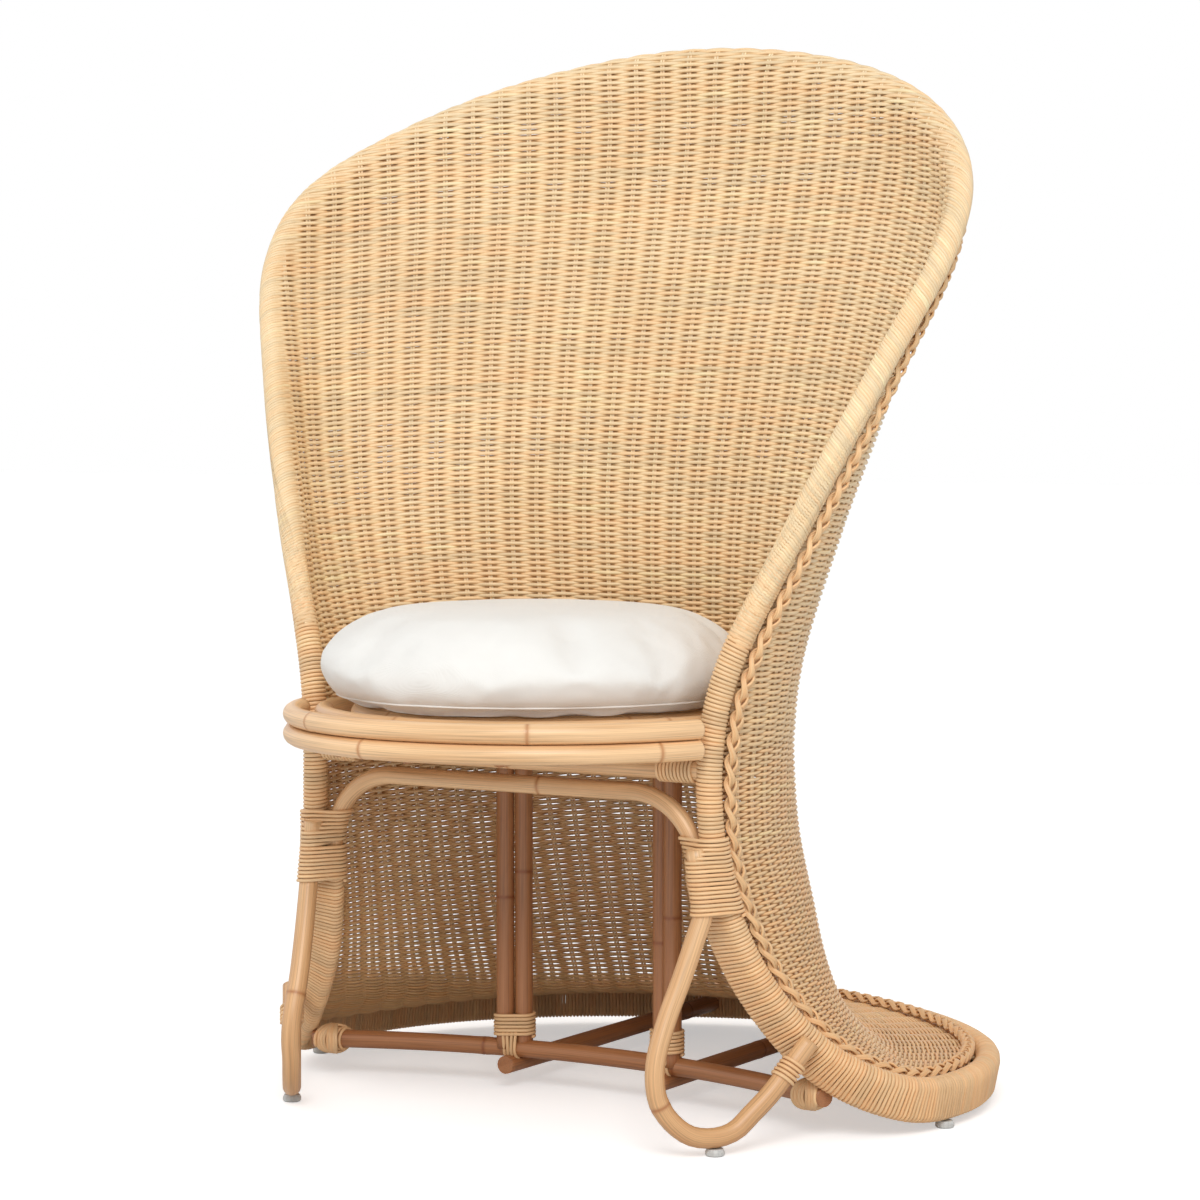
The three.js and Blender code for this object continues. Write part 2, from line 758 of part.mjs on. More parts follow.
function stripAlong(raw) {
  return raw.map(({ point, out, wound }, i) => {
    const before = raw[Math.max(i - 1, 0)].point;
    const after = raw[Math.min(i + 1, raw.length - 1)].point;
    const tangent = after.clone().sub(before).normalize();
    const up = out.clone().addScaledVector(tangent, -out.dot(tangent)).normalize();
    return { point, across: tangent.clone().cross(up), up, wound };
  });
}

// Cushion: a crowned round pad, drawn in at a seam low on its side. Shares of its radius and its thickness.
const cushionShares = [
  { out: 0, up: 0 },
  { out: 0.82, up: 0 },
  { out: 0.93, up: 0.035 },
  { out: 0.962, up: 0.13 },
  { out: 0.985, up: 0.2 },
  { out: 1, up: 0.33 },
  { out: 0.99, up: 0.5 },
  { out: 0.955, up: 0.66 },
  { out: 0.89, up: 0.78 },
  { out: 0.78, up: 0.88 },
  { out: 0.6, up: 0.95 },
  { out: 0.35, up: 0.99 },
  { out: 0, up: 1 },
];
const cushionSegments = 36;
function cushion() {
  const radius = cushionDiameter / 2;
  const profile = cushionShares.map((s) => new THREE.Vector2(s.out * radius, s.up * cushionThickness));
  return turned(profile, cushionSegments);
}

// Assembly
const group = new THREE.Group();
function add(name, geometry, finish, place = vector(0, 0, 0)) {
  const mesh = new THREE.Mesh(geometry, new THREE.MeshStandardMaterial(finish));
  mesh.name = name;
  mesh.position.copy(place);
  group.add(mesh);
  return mesh;
}
const grown = (diameter) => diameter + 2 * clearance;
const sided = (p, sign) => vector(sign * p.x, p.y, p.z);
const sides = [
  { name: "left", sign: -1 },
  { name: "right", sign: 1 },
];

const rimBack = rimOverTop(jointPlace, rimDiameter);
const rimBackCutter = rimOverTop(jointPlace, grown(rimDiameter));
const rimTailCutter = rimRoundTail(jointPlace, grown(rimDiameter));
const lowerPoleCutter = lowerPole(grown(lowerPoleDiameter));
add("rim_pole_back", rimBack, rattan);
add("rim_pole_tail", carve(rimRoundTail(jointPlace, rimDiameter), [rimBackCutter]), rattan);
const archCutter = pole(archPoints(clearance), grown(archDiameter) + caneSlack, vector(0, 1, 0));
add("tail_lower_pole", carve(lowerPole(lowerPoleDiameter), [archCutter]), rattan);
add("braid_border", braidBorder(), paleCane);
const lowRim = gridBetween(heelStation, jointPlace).map(rimAt);
const wrapRoom = caneSlack + caneThickness + 2 * clearance;
const wrapReach = crossing(lowRim, jointBottom, rimDiameter).radius + wrapRoom;
const sleeveDiameter = (2 * wrapReach) / Math.cos(Math.PI / poleSides);
const sleeves = sides.flatMap(({ sign }) => {
  const from = rimPlaceBehindJoint(jointBottom - 3 * caneWidth);
  const to = rimPlaceBehindJoint(jointTop + caneWidth);
  return [
    { line: rimAt, end: to },
    { line: lowerPoleAt, end: jointPlace },
  ].map(({ line, end }) => {
    const points = gridBetween(from, end).map((v) => sided(line(v), sign));
    return pole(points, sleeveDiameter, vector(0, 1, 0));
  });
});
const backSheet = sheetShell(seatPlace, lastStation, sheetThickness, clearance);
add("back_weave", carve(backSheet, [rimBackCutter]), weave);
const skirtSheet = sheetShell(0, seatPlace, sheetThickness);
add("skirt_weave", carve(skirtSheet, [rimTailCutter, rimBackCutter, lowerPoleCutter, ...sleeves]), weave);

const sheetCutters = [
  sheetShell(seatPlace, lastStation, grown(sheetThickness)),
  sheetShell(0, seatPlace, grown(sheetThickness)),
];
add("front_bow_lower", pole(bowPoints(seatPoleHeight, bowSteps), seatPoleDiameter), rattan);
add("front_bow_upper", pole(bowPoints(upperBowHeight, bowSteps), seatPoleDiameter), rattan);
add("rear_hoop", carve(rearHoop(seatPoleDiameter), [rimBackCutter, ...sheetCutters]), darkRattan);

const hoopCutter = rearHoop(grown(seatPoleDiameter));
const bowCutter = pole(bowPoints(seatPoleHeight, bowSteps), grown(seatPoleDiameter));
[-1, 0, 1].forEach((place) => {
  const x = place * bearerSpacing;
  const name = ["left", "middle", "right"][place + 1];
  const bearer = straightPole(
    vector(x, setbackAt(bowPoints(seatPoleHeight, bowSteps), x), bearerHeight),
    vector(x, setbackAt(hoopPoints(), x), bearerHeight),
    bearerDiameter,
  );
  add("seat_bearer_" + name, carve(bearer, [bowCutter, hoopCutter]), darkRattan);
});
for (let i = 0; i < deckRingCount; i += 1) {
  const caneRadius = deckCaneDiameter / 2 / Math.cos(Math.PI / ringSides);
  const ring = new THREE.TorusGeometry(deckRadius - i * deckRingSpacing, caneRadius, ringSides, ringSegments);
  ring.deleteAttribute("normal");
  ring.deleteAttribute("uv");
  const closed = closedGeometry(Array.from(ring.attributes.position.array), Array.from(ring.index.array));
  add("deck_ring_" + (i + 1), closed, rattan, vector(0, deckCentreY, upperBowHeight));
}

const railHalf = tailHalfWidth;
[
  { name: "cross_rail_front", y: railRim.y },
  { name: "cross_rail_rear", y: rearRailY },
].forEach(({ name, y }) => {
  const rail = straightPole(
    vector(-railHalf, y, crossRailHeight),
    vector(railHalf, y, crossRailHeight),
    crossRailDiameter,
  );
  add(name, carve(rail, [rimBackCutter, ...sheetCutters]), rattan);
});

add("front_arch", pole(archPoints(), archDiameter, vector(0, 1, 0)), rattan);
sides.forEach(({ name, sign }) => {
  const loop = pole(loopPoints(sign), legDiameter, vector(0, 1, 0));
  add("leg_loop_" + name, carve(loop, [rimBackCutter, rimTailCutter, lowerPoleCutter, archCutter]), rattan);
});

const stretcherCutter = pole(stretcherPoints(), grown(stretcherDiameter));
const stretcher = pole(stretcherPoints(), stretcherDiameter);
add("floor_stretcher", carve(stretcher, [rimTailCutter, lowerPoleCutter, ...sheetCutters]), darkRattan);
const rearRailCutter = straightPole(
  vector(-railHalf, rearRailY, crossRailHeight),
  vector(railHalf, rearRailY, crossRailHeight),
  grown(crossRailDiameter),
);
sides.forEach(({ name, sign }) => {
  ["inner", "outer"].forEach((which, k) => {
    const { x, y } = postPlace(sign, k - 0.5);
    const post = straightPole(vector(x, y, stretcherHeight), vector(x, y, crossRailHeight), postDiameter);
    add("post_" + name + "_" + which, carve(post, [stretcherCutter, rearRailCutter]), darkRattan);
  });
  const x = sign * postSpacing;
  const runner = straightPole(
    vector(x, stretcherY(x) - runnerDiameter, runnerHeight),
    vector(x, setbackAt(gridBetween(0, jointPlace).map(rimAt), x * sign), runnerHeight),
    runnerDiameter,
  );
  const cutters = [stretcherCutter, rimTailCutter, lowerPoleCutter, ...sheetCutters];
  add("tail_runner_" + name, carve(runner, cutters), darkRattan);
});

// The poles that a joint's wrap goes round at a height.
function jointPoles(height, sign) {
  const above = gridBetween(jointPlace, waistStation + 1).slice(1);
  const grid = [...gridBetween(heelStation, jointPlace), ...above];
  const line = (at) => grid.map((v) => sided(at(v), sign));
  const arch = archPoints(clearance).slice(0, archBendSteps + 1).map((p) => sided(p, sign));
  const legHeight = Math.min(height, jointTop - legTopDepth);
  const poles = [crossing(line(rimAt), height, rimDiameter)];
  if (height > jointMiddle) poles.push(crossing(arch, height, archDiameter + clearance));
  else poles.push(crossing(line(lowerPoleAt), height, lowerPoleDiameter));
  if (height - caneWidth < legHeight) poles.push(crossing(loopPoints(sign), legHeight, legDiameter));
  return poles;
}

// Lashings
const xAxis = vector(1, 0, 0);
const yAxis = vector(0, 1, 0);
const zAxis = vector(0, 0, 1);
sides.forEach(({ name, sign }) => {
  const lashings = [
    {
      part: "joint_wrap_",
      turns: jointTurns,
      crossingAt: (shift) => ({ poles: jointPoles(jointMiddle + shift, sign), first: xAxis, second: yAxis }),
    },
    {
      part: "rail_wrap_",
      turns: railTurns,
      crossingAt: (shift) => {
        const centre = vector(sign * (railRim.x - railWrapInset) + shift, railRim.y, crossRailHeight);
        return { poles: [{ centre, radius: crossRailDiameter / 2 }], first: yAxis, second: zAxis };
      },
    },
    {
      part: "post_lash_",
      turns: postTurns,
      crossingAt: (shift) => {
        const foot = stretcherHeight + stretcherDiameter / 2 + caneSlack;
        const height = foot + (caneWidth + postTurns * lashPitch) / 2 + shift;
        const poles = [-0.5, 0.5].map((side) => {
          const { x, y } = postPlace(sign, side);
          return { centre: vector(x, y, height), radius: postDiameter / 2 };
        });
        return { poles, first: xAxis, second: yAxis };
      },
    },
    {
      part: "heel_lash_",
      turns: heelTurns,
      crossingAt: (shift) => {
        const points = loopPoints(sign);
        const end = points[points.length - 1];
        const along = end.clone().sub(points[points.length - 3]).normalize();
        const centre = end.clone().addScaledVector(along, heelWrapReach - loopRearReach + shift);
        const first = zAxis.clone().cross(along).normalize();
        return { poles: [{ centre, radius: legDiameter / 2 }], first, second: along.clone().cross(first) };
      },
    },
    {
      part: "stretcher_lash_",
      turns: stretcherTurns,
      crossingAt: (shift) => {
        const x = sign * (stretcherHalfWidth - stretcherWrapInset) + shift;
        const along = vector(clearance, stretcherY(x + clearance) - stretcherY(x), 0).normalize();
        const centre = vector(x, stretcherY(x), stretcherHeight);
        const poles = [{ centre, radius: stretcherDiameter / 2 }];
        return { poles, first: along.clone().cross(zAxis), second: zAxis };
      },
    },
  ];
  lashings.forEach(({ part, turns, crossingAt }) => {
    add(part + name, winding(part + name, crossingAt, turns), paleCane);
  });
});
Object.entries(windingGaps).forEach(([name, gap]) => {
  console.log(name + " least gap to itself " + gap.toFixed(2) + " mm");
});

glides().forEach(({ name, x, y }) => add(name, glide(), nylon, vector(x, y, 0)));
function glides() {
  const rear = lowerPoleAt(rimPlaceAtSetback(rearGlideSetback));
  return [
    { name: "glide_front_left", x: -loopHalfSpread, y: -loopSetback },
    { name: "glide_front_right", x: loopHalfSpread, y: -loopSetback },
    { name: "glide_rear_left", x: -rear.x, y: rear.y },
    { name: "glide_rear_right", x: rear.x, y: rear.y },
    { name: "glide_tail", x: 0, y: lowerPoleAt(0).y },
  ];
}

function rimPlaceAtSetback(setback) {
  let low = 0;
  let high = waistStation - 1;
  while (high - low > stationStepShare) {
    const middle = (low + high) / 2;
    if (rimAt(middle).y > setback) low = middle;
    else high = middle;
  }
  return low;
}

add("cushion", cushion(), cotton, vector(0, deckCentreY - cushionForwardSet, seatTopHeight + clearance));

const box = new THREE.Box3().setFromObject(group);
group.position.y = -(box.min.y + box.max.y) / 2;

export default group;
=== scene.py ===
"""Looks of a rattan peacock chair, woven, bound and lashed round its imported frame."""

import math

import bmesh
import bpy
import numpy as np
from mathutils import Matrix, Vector


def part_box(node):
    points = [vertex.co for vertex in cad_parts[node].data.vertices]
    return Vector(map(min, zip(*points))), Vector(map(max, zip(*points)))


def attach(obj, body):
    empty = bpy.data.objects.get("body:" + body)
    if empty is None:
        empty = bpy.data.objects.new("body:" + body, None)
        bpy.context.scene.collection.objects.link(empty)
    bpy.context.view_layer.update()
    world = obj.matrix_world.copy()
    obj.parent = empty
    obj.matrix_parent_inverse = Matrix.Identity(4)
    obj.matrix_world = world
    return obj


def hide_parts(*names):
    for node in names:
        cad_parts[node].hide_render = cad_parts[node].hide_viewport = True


bl_info = {
    "name": "Rattan peacock chair",
    "version": (1, 0, 0),
    "blender": (4, 0, 0),
    "location": "View3D > Sidebar > Peacock chair",
    "description": "Weaves, binds and lashes a rattan peacock chair",
    "category": "Object",
}

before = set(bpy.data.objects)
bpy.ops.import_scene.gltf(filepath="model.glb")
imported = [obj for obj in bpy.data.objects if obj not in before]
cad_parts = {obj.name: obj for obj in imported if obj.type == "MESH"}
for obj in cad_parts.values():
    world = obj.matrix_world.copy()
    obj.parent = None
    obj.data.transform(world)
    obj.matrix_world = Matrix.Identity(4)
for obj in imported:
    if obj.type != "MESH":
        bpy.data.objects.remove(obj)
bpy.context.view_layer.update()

# Sizes in metres, most of them the same as in the part's source
RIM_RADIUS = 0.014
CORE_RADIUS = 0.0072
LOWER_RADIUS = 0.010
CLEARANCE = 0.0003
EDGE_INSET = RIM_RADIUS + CLEARANCE
FAN = (0.421, 0.391, 1.138)
WAIST = (0.2455, 0.0, 0.314)
TAIL = (0.399, 0.637, 0.0422)
HEEL_RISE = 0.092 - TAIL[2]
FAN_RISE = FAN[2] - WAIST[2]
SHEET_HALF = 0.004
SEAT_HEIGHT = 0.407
UPPER_BOW = 0.4277
BEARER_HEIGHT = 0.4054
RAIL_HEIGHT = 0.3831
JOINT = (0.236, 0.318)
POLE_RADIUS = 0.010
BOW_RADIUS = 0.0102
BOW_REACH = 0.195
BEARER_RADIUS = 0.0118
BEARER_INSET = (0.012, 0.011)
ARCH_RADIUS = 0.0095
ARCH_HEIGHT = 0.357
ARCH_BEND = 0.076
POST_SPACING = 0.097
PAIR_SPACING = 0.0206
PAIR_TURN = math.radians(26)
STRETCHER_HEIGHT = 0.044
STRETCHER_HALF = 0.354
STRETCHER_LASH = 0.301
STRETCHER_END = 0.322  # just past its lashings
STRETCHER_SETBACK = (0.172, 0.084)
WRAP_FADE = 0.292
LEG_HELD = 0.3
ARCH_STEP = 0.004
HEEL_LASH = 0.037
LEG_RADIUS = 0.0102
LEG_TOP_DEPTH = 0.012
LOOP_SETBACK = 0.023
LOOP_SPREAD = 0.262
LOOP_REACH = (0.066, 0.105)
LOOP_LEAN = 0.02
LOOP_HEIGHT = 0.0181
LOOP_SPLAY = math.radians(36.3)
SHIFT = (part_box("glide_front_left")[0].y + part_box("glide_front_left")[1].y) / 2 + LOOP_SETBACK
SIDES = (("left", -1), ("right", 1))
MIRROR = np.array((-1, 1, 1))
X_AXIS, Y_AXIS, Z_AXIS = np.eye(3)

# Shares of the tail and of the fan: the rim's stations, then the spine with the sheet's wrap in degrees
TAIL_RIM_SHARES = (
    (0, 1, 0), (0.498, 0.886, 0), (0.846, 0.695, 0), (1, 0.469, 0),
    (0.97, 0.264, 0.1), (0.821, 0.139, 1), (0.678, 0.053, 2.9),
)
FAN_RIM_SHARES = (
    (0.599, 0.01, 0.181), (0.747, 0.122, 0.38), (0.899, 0.274, 0.574), (1, 0.427, 0.723),
    (0.96, 0.591, 0.828), (0.738, 0.826, 0.919), (0.408, 0.969, 0.978), (0, 1, 1),
)
TAIL_SPINE_SHARES = (
    (1, 0, 14), (0.94, 0.16, 14), (0.852, 0.28, 16), (0.766, 0.42, 24),
    (0.692, 0.75, 47), (0.656, 1.85, 72), (0.628, 3.6, 95), (0.586, 5.6, 102),
)
FAN_SPINE_SHARES = (
    (0.798, 0.184, 108), (0.765, 0.38, 101), (0.824, 0.574, 91), (0.895, 0.72, 77),
    (0.946, 0.834, 66), (0.974, 0.931, 55), (0.992, 0.98, 42), (1, 1, 32),
)
RIM = np.array(
    [(a * TAIL[0], b * TAIL[1], TAIL[2] + c * HEEL_RISE) for a, b, c in TAIL_RIM_SHARES]
    + [WAIST]
    + [(a * FAN[0], b * FAN[1], WAIST[2] + c * FAN_RISE) for a, b, c in FAN_RIM_SHARES]
)
SPINE = np.array(
    [(0, b * TAIL[1], TAIL[2] + c * HEEL_RISE) for b, c, _ in TAIL_SPINE_SHARES]
    + [(0, b * FAN[1], WAIST[2] + c * FAN_RISE) for b, c, _ in FAN_SPINE_SHARES]
)
WRAP = np.radians([[w] for _, _, w in TAIL_SPINE_SHARES + FAN_SPINE_SHARES])
LAST = len(RIM) - 1


# The curved sheet
def spline(values, before, after, v):
    v = np.asarray(v, float)
    line = np.vstack([before, values, after])
    i = np.clip(np.floor(v).astype(int), 0, len(values) - 2)
    t = (v - i)[..., None]
    a, b, c, d = (line[i + k] for k in range(4))
    return b + t * ((c - a) + t * ((2 * a - 5 * b + 4 * c - d) + t * (3 * b - a - 3 * c + d))) / 2


def arc_lengths(line):
    steps = np.diff(np.asarray(line)[:, :3], axis=0)
    return np.concatenate([[0], np.cumsum(np.linalg.norm(steps, axis=1))])


def without_repeats(line):
    return line[np.diff(arc_lengths(line), prepend=-1) > 2e-5]


def columns_at(x, marks, table):
    """Every column of a table at x, between the rows' marks."""
    return np.stack([np.interp(x, marks, column) for column in table.T], -1)


def rim_at(v):
    p = spline(RIM, RIM[1] * MIRROR, RIM[-2] * MIRROR, v)
    p[..., 2] = np.maximum(p[..., 2], TAIL[2])
    return p


def spine_at(v, stations):
    return spline(stations, 2 * stations[0] - stations[1], 2 * stations[-1] - stations[-2], v)


def wrap_at(v):
    return spline(WRAP, WRAP[0], WRAP[-1], v)


def on_section(edge, spine, wrap, u):
    u = np.asarray(u, float)[..., None]
    across = edge[..., :1] * np.sin(wrap * u) / np.sin(wrap)
    forward = (1 - np.cos(wrap * u)) / (1 - np.cos(wrap))
    return np.concatenate([across, spine[..., 1:] + (edge - spine)[..., 1:] * forward], -1)


def unit(a):
    return a / np.linalg.norm(a, axis=-1, keepdims=True)


def rim_frame(v):
    """The rim's point, tangent, way into the sheet and outward side at place v."""
    v = np.asarray(v, float)
    point = rim_at(v)
    tangent = unit(rim_at(np.minimum(v + 0.01, LAST)) - rim_at(np.maximum(v - 0.01, 0)))
    held = np.clip(v, 1.6, LAST - 1.6)
    probe = 0.93 * point[..., 0] / rim_at(held)[..., 0]
    into = on_section(rim_at(held), spine_at(held, SPINE), wrap_at(held), probe) - point
    into = unit(into - tangent * (into * tangent).sum(-1, keepdims=True))
    return point, tangent, into, np.cross(into, tangent)


def edge_at(v):
    point, _, into, _ = rim_frame(v)
    return point + into * EDGE_INSET


SHEET_SPINE = SPINE.copy()
SHEET_SPINE[0] = edge_at(0)
SHEET_SPINE[-1] = edge_at(LAST)


# The sheet's carrying on over the rim
ROLL = 0.0106
ROLL_REACH = 0.07
ROLL_FROM = (8.3, 9.0)
ROLL_DEPTH = EDGE_INSET + math.pi * ROLL + 0.013
LAST_ROW = 13.7


def eased(x):
    x = np.clip(x, 0, 1)
    return x * x * (3 - 2 * x)


def lift_at(distance, v):
    """How far the sheet has risen towards the sitter's side of the rim, at a distance from its middle."""
    low, high = ROLL_FROM
    return ROLL * (1 - eased(distance / ROLL_REACH)) * eased((v - low) / (high - low))


def rim_distance(points):
    line = rim_at(np.linspace(0, LAST, 600))
    line = np.vstack([line, line * MIRROR])
    return np.array([np.linalg.norm(row[:, None] - line, axis=-1).min(1) for row in points])


def section_table(places, columns):
    """Points and inner normals of the right half at equal arc lengths, with each section's length."""
    u = np.linspace(0, 1, 3 * columns)
    v = places[:, None] + 0 * u
    fine = on_section(edge_at(v), spine_at(v, SHEET_SPINE), wrap_at(v), 0 * v + u)
    arc = np.cumsum(np.linalg.norm(np.diff(fine, axis=1, prepend=fine[:, :1]), axis=-1), axis=1)
    shares = np.linspace(0, 1, columns)
    points = np.array([columns_at(shares * a[-1], a, p) for a, p in zip(arc, fine)])
    normals = np.cross(np.gradient(points, axis=1), np.gradient(points, axis=0))
    normals[0], normals[-1] = normals[2], normals[-3]
    normals[1], normals[-2] = normals[2], normals[-3]
    normals = unit(normals)
    points += normals * lift_at(rim_distance(points), places[:, None])[..., None]
    return np.concatenate([points, normals], -1), arc[:, -1]


PLACES = np.linspace(0, LAST, 451)
TABLE, SPAN = section_table(PLACES, 65)


def flipped(left):
    """Factors that mirror the points for which left is true."""
    return np.where(left, -1, 1)[..., None] * X_AXIS + (1 - X_AXIS)


def on_sheet(s, v):
    """Point and inner normal at signed arc length s from the spine, at place v."""
    s, v = np.broadcast_arrays(np.asarray(s, float), np.asarray(v, float))
    share = np.clip(np.abs(s) / np.maximum(np.interp(v, PLACES, SPAN), 1e-6), 0, 1)
    row, column = v / PLACES[1], share * (TABLE.shape[1] - 1)
    i = np.clip(row.astype(int), 0, len(PLACES) - 2)
    j = np.clip(column.astype(int), 0, TABLE.shape[1] - 2)
    a, b = (row - i)[..., None], (column - j)[..., None]
    low = TABLE[i, j] * (1 - b) + TABLE[i, j + 1] * b
    high = TABLE[i + 1, j] * (1 - b) + TABLE[i + 1, j + 1] * b
    both = low * (1 - a) + high * a
    flip = flipped(s < 0)
    return both[..., :3] * flip, unit(both[..., 3:]) * flip


def rolled(run, depth):
    """Points and outward ways over the rim, by the run from its top and the depth past the sheet's edge."""
    field = columns_at(run, ROLL_RUN, ROLL_FIELD)
    point, into, inner = field[..., :3], unit(field[..., 3:6]), unit(field[..., 6:])
    left = np.maximum(EDGE_INSET - depth, 0)
    turn = np.clip((depth - EDGE_INSET) / ROLL, 0, math.pi)
    tuck = np.maximum(depth - EDGE_INSET - math.pi * ROLL, 0)
    flat = np.clip(left / EDGE_INSET, 0, 1)
    lift = lift_at(left, np.interp(run, ROLL_RUN, ROLL_PLACE)) * flat + ROLL * (1 - flat)
    a = (left - ROLL * np.sin(turn) + tuck)[..., None]
    b = np.where(left > 0, lift, ROLL * np.cos(turn) + 0.36 * tuck)[..., None]
    way = inner * np.cos(turn)[..., None] - into * np.sin(turn)[..., None]
    return point + into * a + inner * b, way


def rim_place(height, low, high):
    v = np.linspace(low, high, 800)
    return float(np.interp(height, rim_at(v)[:, 2], v))


SEAT_PLACE = rim_place(SEAT_HEIGHT, 7, 9)
ROLL_PLACE = np.linspace(LAST, SEAT_PLACE, 2000)
ROLL_POINT, _, ROLL_INTO, ROLL_OUT = rim_frame(ROLL_PLACE)
ROLL_FIELD = np.concatenate([ROLL_POINT, ROLL_INTO, -ROLL_OUT], -1)
ROLL_RUN = arc_lengths(ROLL_POINT)
JOINT_PLACE = rim_place(sum(JOINT) / 2, 5, 7)
SEAT_RIM = rim_at(SEAT_PLACE)
RAIL_RIM = rim_at(rim_place(RAIL_HEIGHT, 7, 9))
LOWER_SPACING = RIM_RADIUS + LOWER_RADIUS + CLEARANCE


def lower_pole_at(v):
    point, tangent, _, _ = rim_frame(v)
    climb = np.clip((point[..., 2] - TAIL[2]) / (JOINT[0] - TAIL[2]), 0, 1)
    lean = np.sin(climb * np.pi / 2)[..., None]
    side = -lean * X_AXIS + (lean - 1) * Z_AXIS
    return point + LOWER_SPACING * unit(side - tangent * (side * tangent).sum(-1, keepdims=True))


# Lines
def along(line, distances):
    return columns_at(distances, arc_lengths(line), line)


def both_sides(right):
    """A line over both sides, from one that ends on the middle."""
    return np.vstack([right, right[-2::-1] * MIRROR])


def through(points, steps=10):
    """A centripetal curve through points."""
    p = np.asarray(points, float)
    p = np.vstack([2 * p[0] - p[1], p, 2 * p[-1] - p[-2]])
    made = []
    for k in range(1, len(p) - 2):
        q = p[k - 1 : k + 3]
        t = np.concatenate([[0], np.cumsum(np.sqrt(np.linalg.norm(np.diff(q, axis=0), axis=1)))])
        for x in np.linspace(t[1], t[2], steps, endpoint=False):
            level = q
            for gap, first in ((1, 0), (2, 0), (1, 1)):
                low, high = t[first : first + len(level) - 1], t[first + gap : first + gap + len(level) - 1]
                share = ((x - low) / (high - low))[:, None]
                level = level[:-1] + np.diff(level, axis=0) * share
            made.append(level[0])
    return np.array(made + [p[-2]])


# Mesh pieces
MOST_TRIANGLES = 190000
TONE_LENGTH = 0.15
FULL_HEIGHT = 0.003
CANE_SHIFT = 7
NODE_GAP = (0.2, 0.34)
FIRST_NODE = (0.05, 0.2)
POLE_STEP = 0.009


def tube(name, lines, radius, rings=1, swell=None, closed=False, caps=False, rounds=None):
    """Round canes along lines, as one mesh with the attributes that the finishes read."""
    lines = lines if swell is not None else [without_repeats(line) for line in lines]
    curve = bpy.data.curves.new(name, "CURVE")
    curve.dimensions = "3D"
    curve.bevel_depth = radius
    curve.bevel_resolution = rings
    for k, line in enumerate(lines):
        strip = curve.splines.new("POLY")
        strip.points.add(len(line) - 1)
        placed = np.c_[line[:, :3] + (0, SHIFT, 0), np.ones(len(line))]
        strip.points.foreach_set("co", placed.ravel())
        if swell is not None:
            strip.points.foreach_set("radius", swell[k])
        strip.use_cyclic_u = closed
        strip.use_smooth = True
    drawn = bpy.data.objects.new(name + "_line", curve)
    bpy.context.scene.collection.objects.link(drawn)
    graph = bpy.context.evaluated_depsgraph_get()
    mesh = bpy.data.meshes.new_from_object(drawn.evaluated_get(graph))
    bpy.data.objects.remove(drawn)
    bpy.data.curves.remove(curve)
    note_fibres(mesh, name, lines, 4 + 2 * rings, rounds)
    if caps:
        close_ends(mesh)
    mesh.name = name
    obj = bpy.data.objects.new(name, mesh)
    bpy.context.scene.collection.objects.link(obj)
    return obj


def close_ends(mesh):
    bm = bmesh.new()
    bm.from_mesh(mesh)
    ends = bmesh.ops.holes_fill(bm, edges=[edge for edge in bm.edges if edge.is_boundary], sides=0)
    for face in ends["faces"]:
        face.smooth = False
    bm.to_mesh(mesh)
    bm.free()


def note_fibres(mesh, name, lines, sides, rounds):
    """Writes each vertex's tone, place on its cane, closeness to a node and height over the sheet."""
    rng = np.random.default_rng(sum(map(ord, name)))
    count = sum(map(len, lines))
    if len(mesh.vertices) != count * sides:
        raise RuntimeError(f"{name} has {len(mesh.vertices)} vertices, not {count * sides}")
    tones = []
    for line in lines:
        run = arc_lengths(line)
        marks = np.arange(0, run[-1] + 2 * TONE_LENGTH, TONE_LENGTH)
        tones.append(np.interp(run, marks, rng.random(len(marks))))
    strand = np.repeat(np.concatenate(tones), sides)
    angle = np.tile(np.arange(sides) * 2 * np.pi / sides, count)
    runs = [np.repeat(arc_lengths(line) + CANE_SHIFT * k, sides) for k, line in enumerate(lines)]
    fibre = np.stack([np.concatenate(runs), np.cos(angle), np.sin(angle)], -1)
    ring = np.zeros(count * sides) if rounds is None else np.repeat(np.concatenate(rounds), sides)
    height = np.ones(count * sides)
    if lines[0].shape[1] > 3:
        place = np.empty(count * sides * 3, np.float32)
        mesh.vertices.foreach_get("co", place)
        sheet = np.repeat(np.concatenate([line[:, 3:] for line in lines]), sides, axis=0)
        above = place.reshape(-1, 3) - (0, SHIFT, 0) - sheet[:, :3]
        height = np.abs((above * sheet[:, 3:]).sum(-1)) / FULL_HEIGHT
    for title, values in (("strand", strand), ("ring", ring), ("height", height)):
        layer = mesh.attributes.new(title, "FLOAT", "POINT")
        layer.data.foreach_set("value", values.astype(np.float32))
    layer = mesh.attributes.new("fibre", "FLOAT_VECTOR", "POINT")
    layer.data.foreach_set("vector", fibre.astype(np.float32).ravel())


def dress(obj, slot, material, *nodes, body="chair"):
    """Gives a piece its finish and body, and hides the frame nodes that it stands for."""
    obj.data.materials.clear()
    obj.data.materials.append(material)
    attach(obj, body)
    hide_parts(*nodes)
    return obj


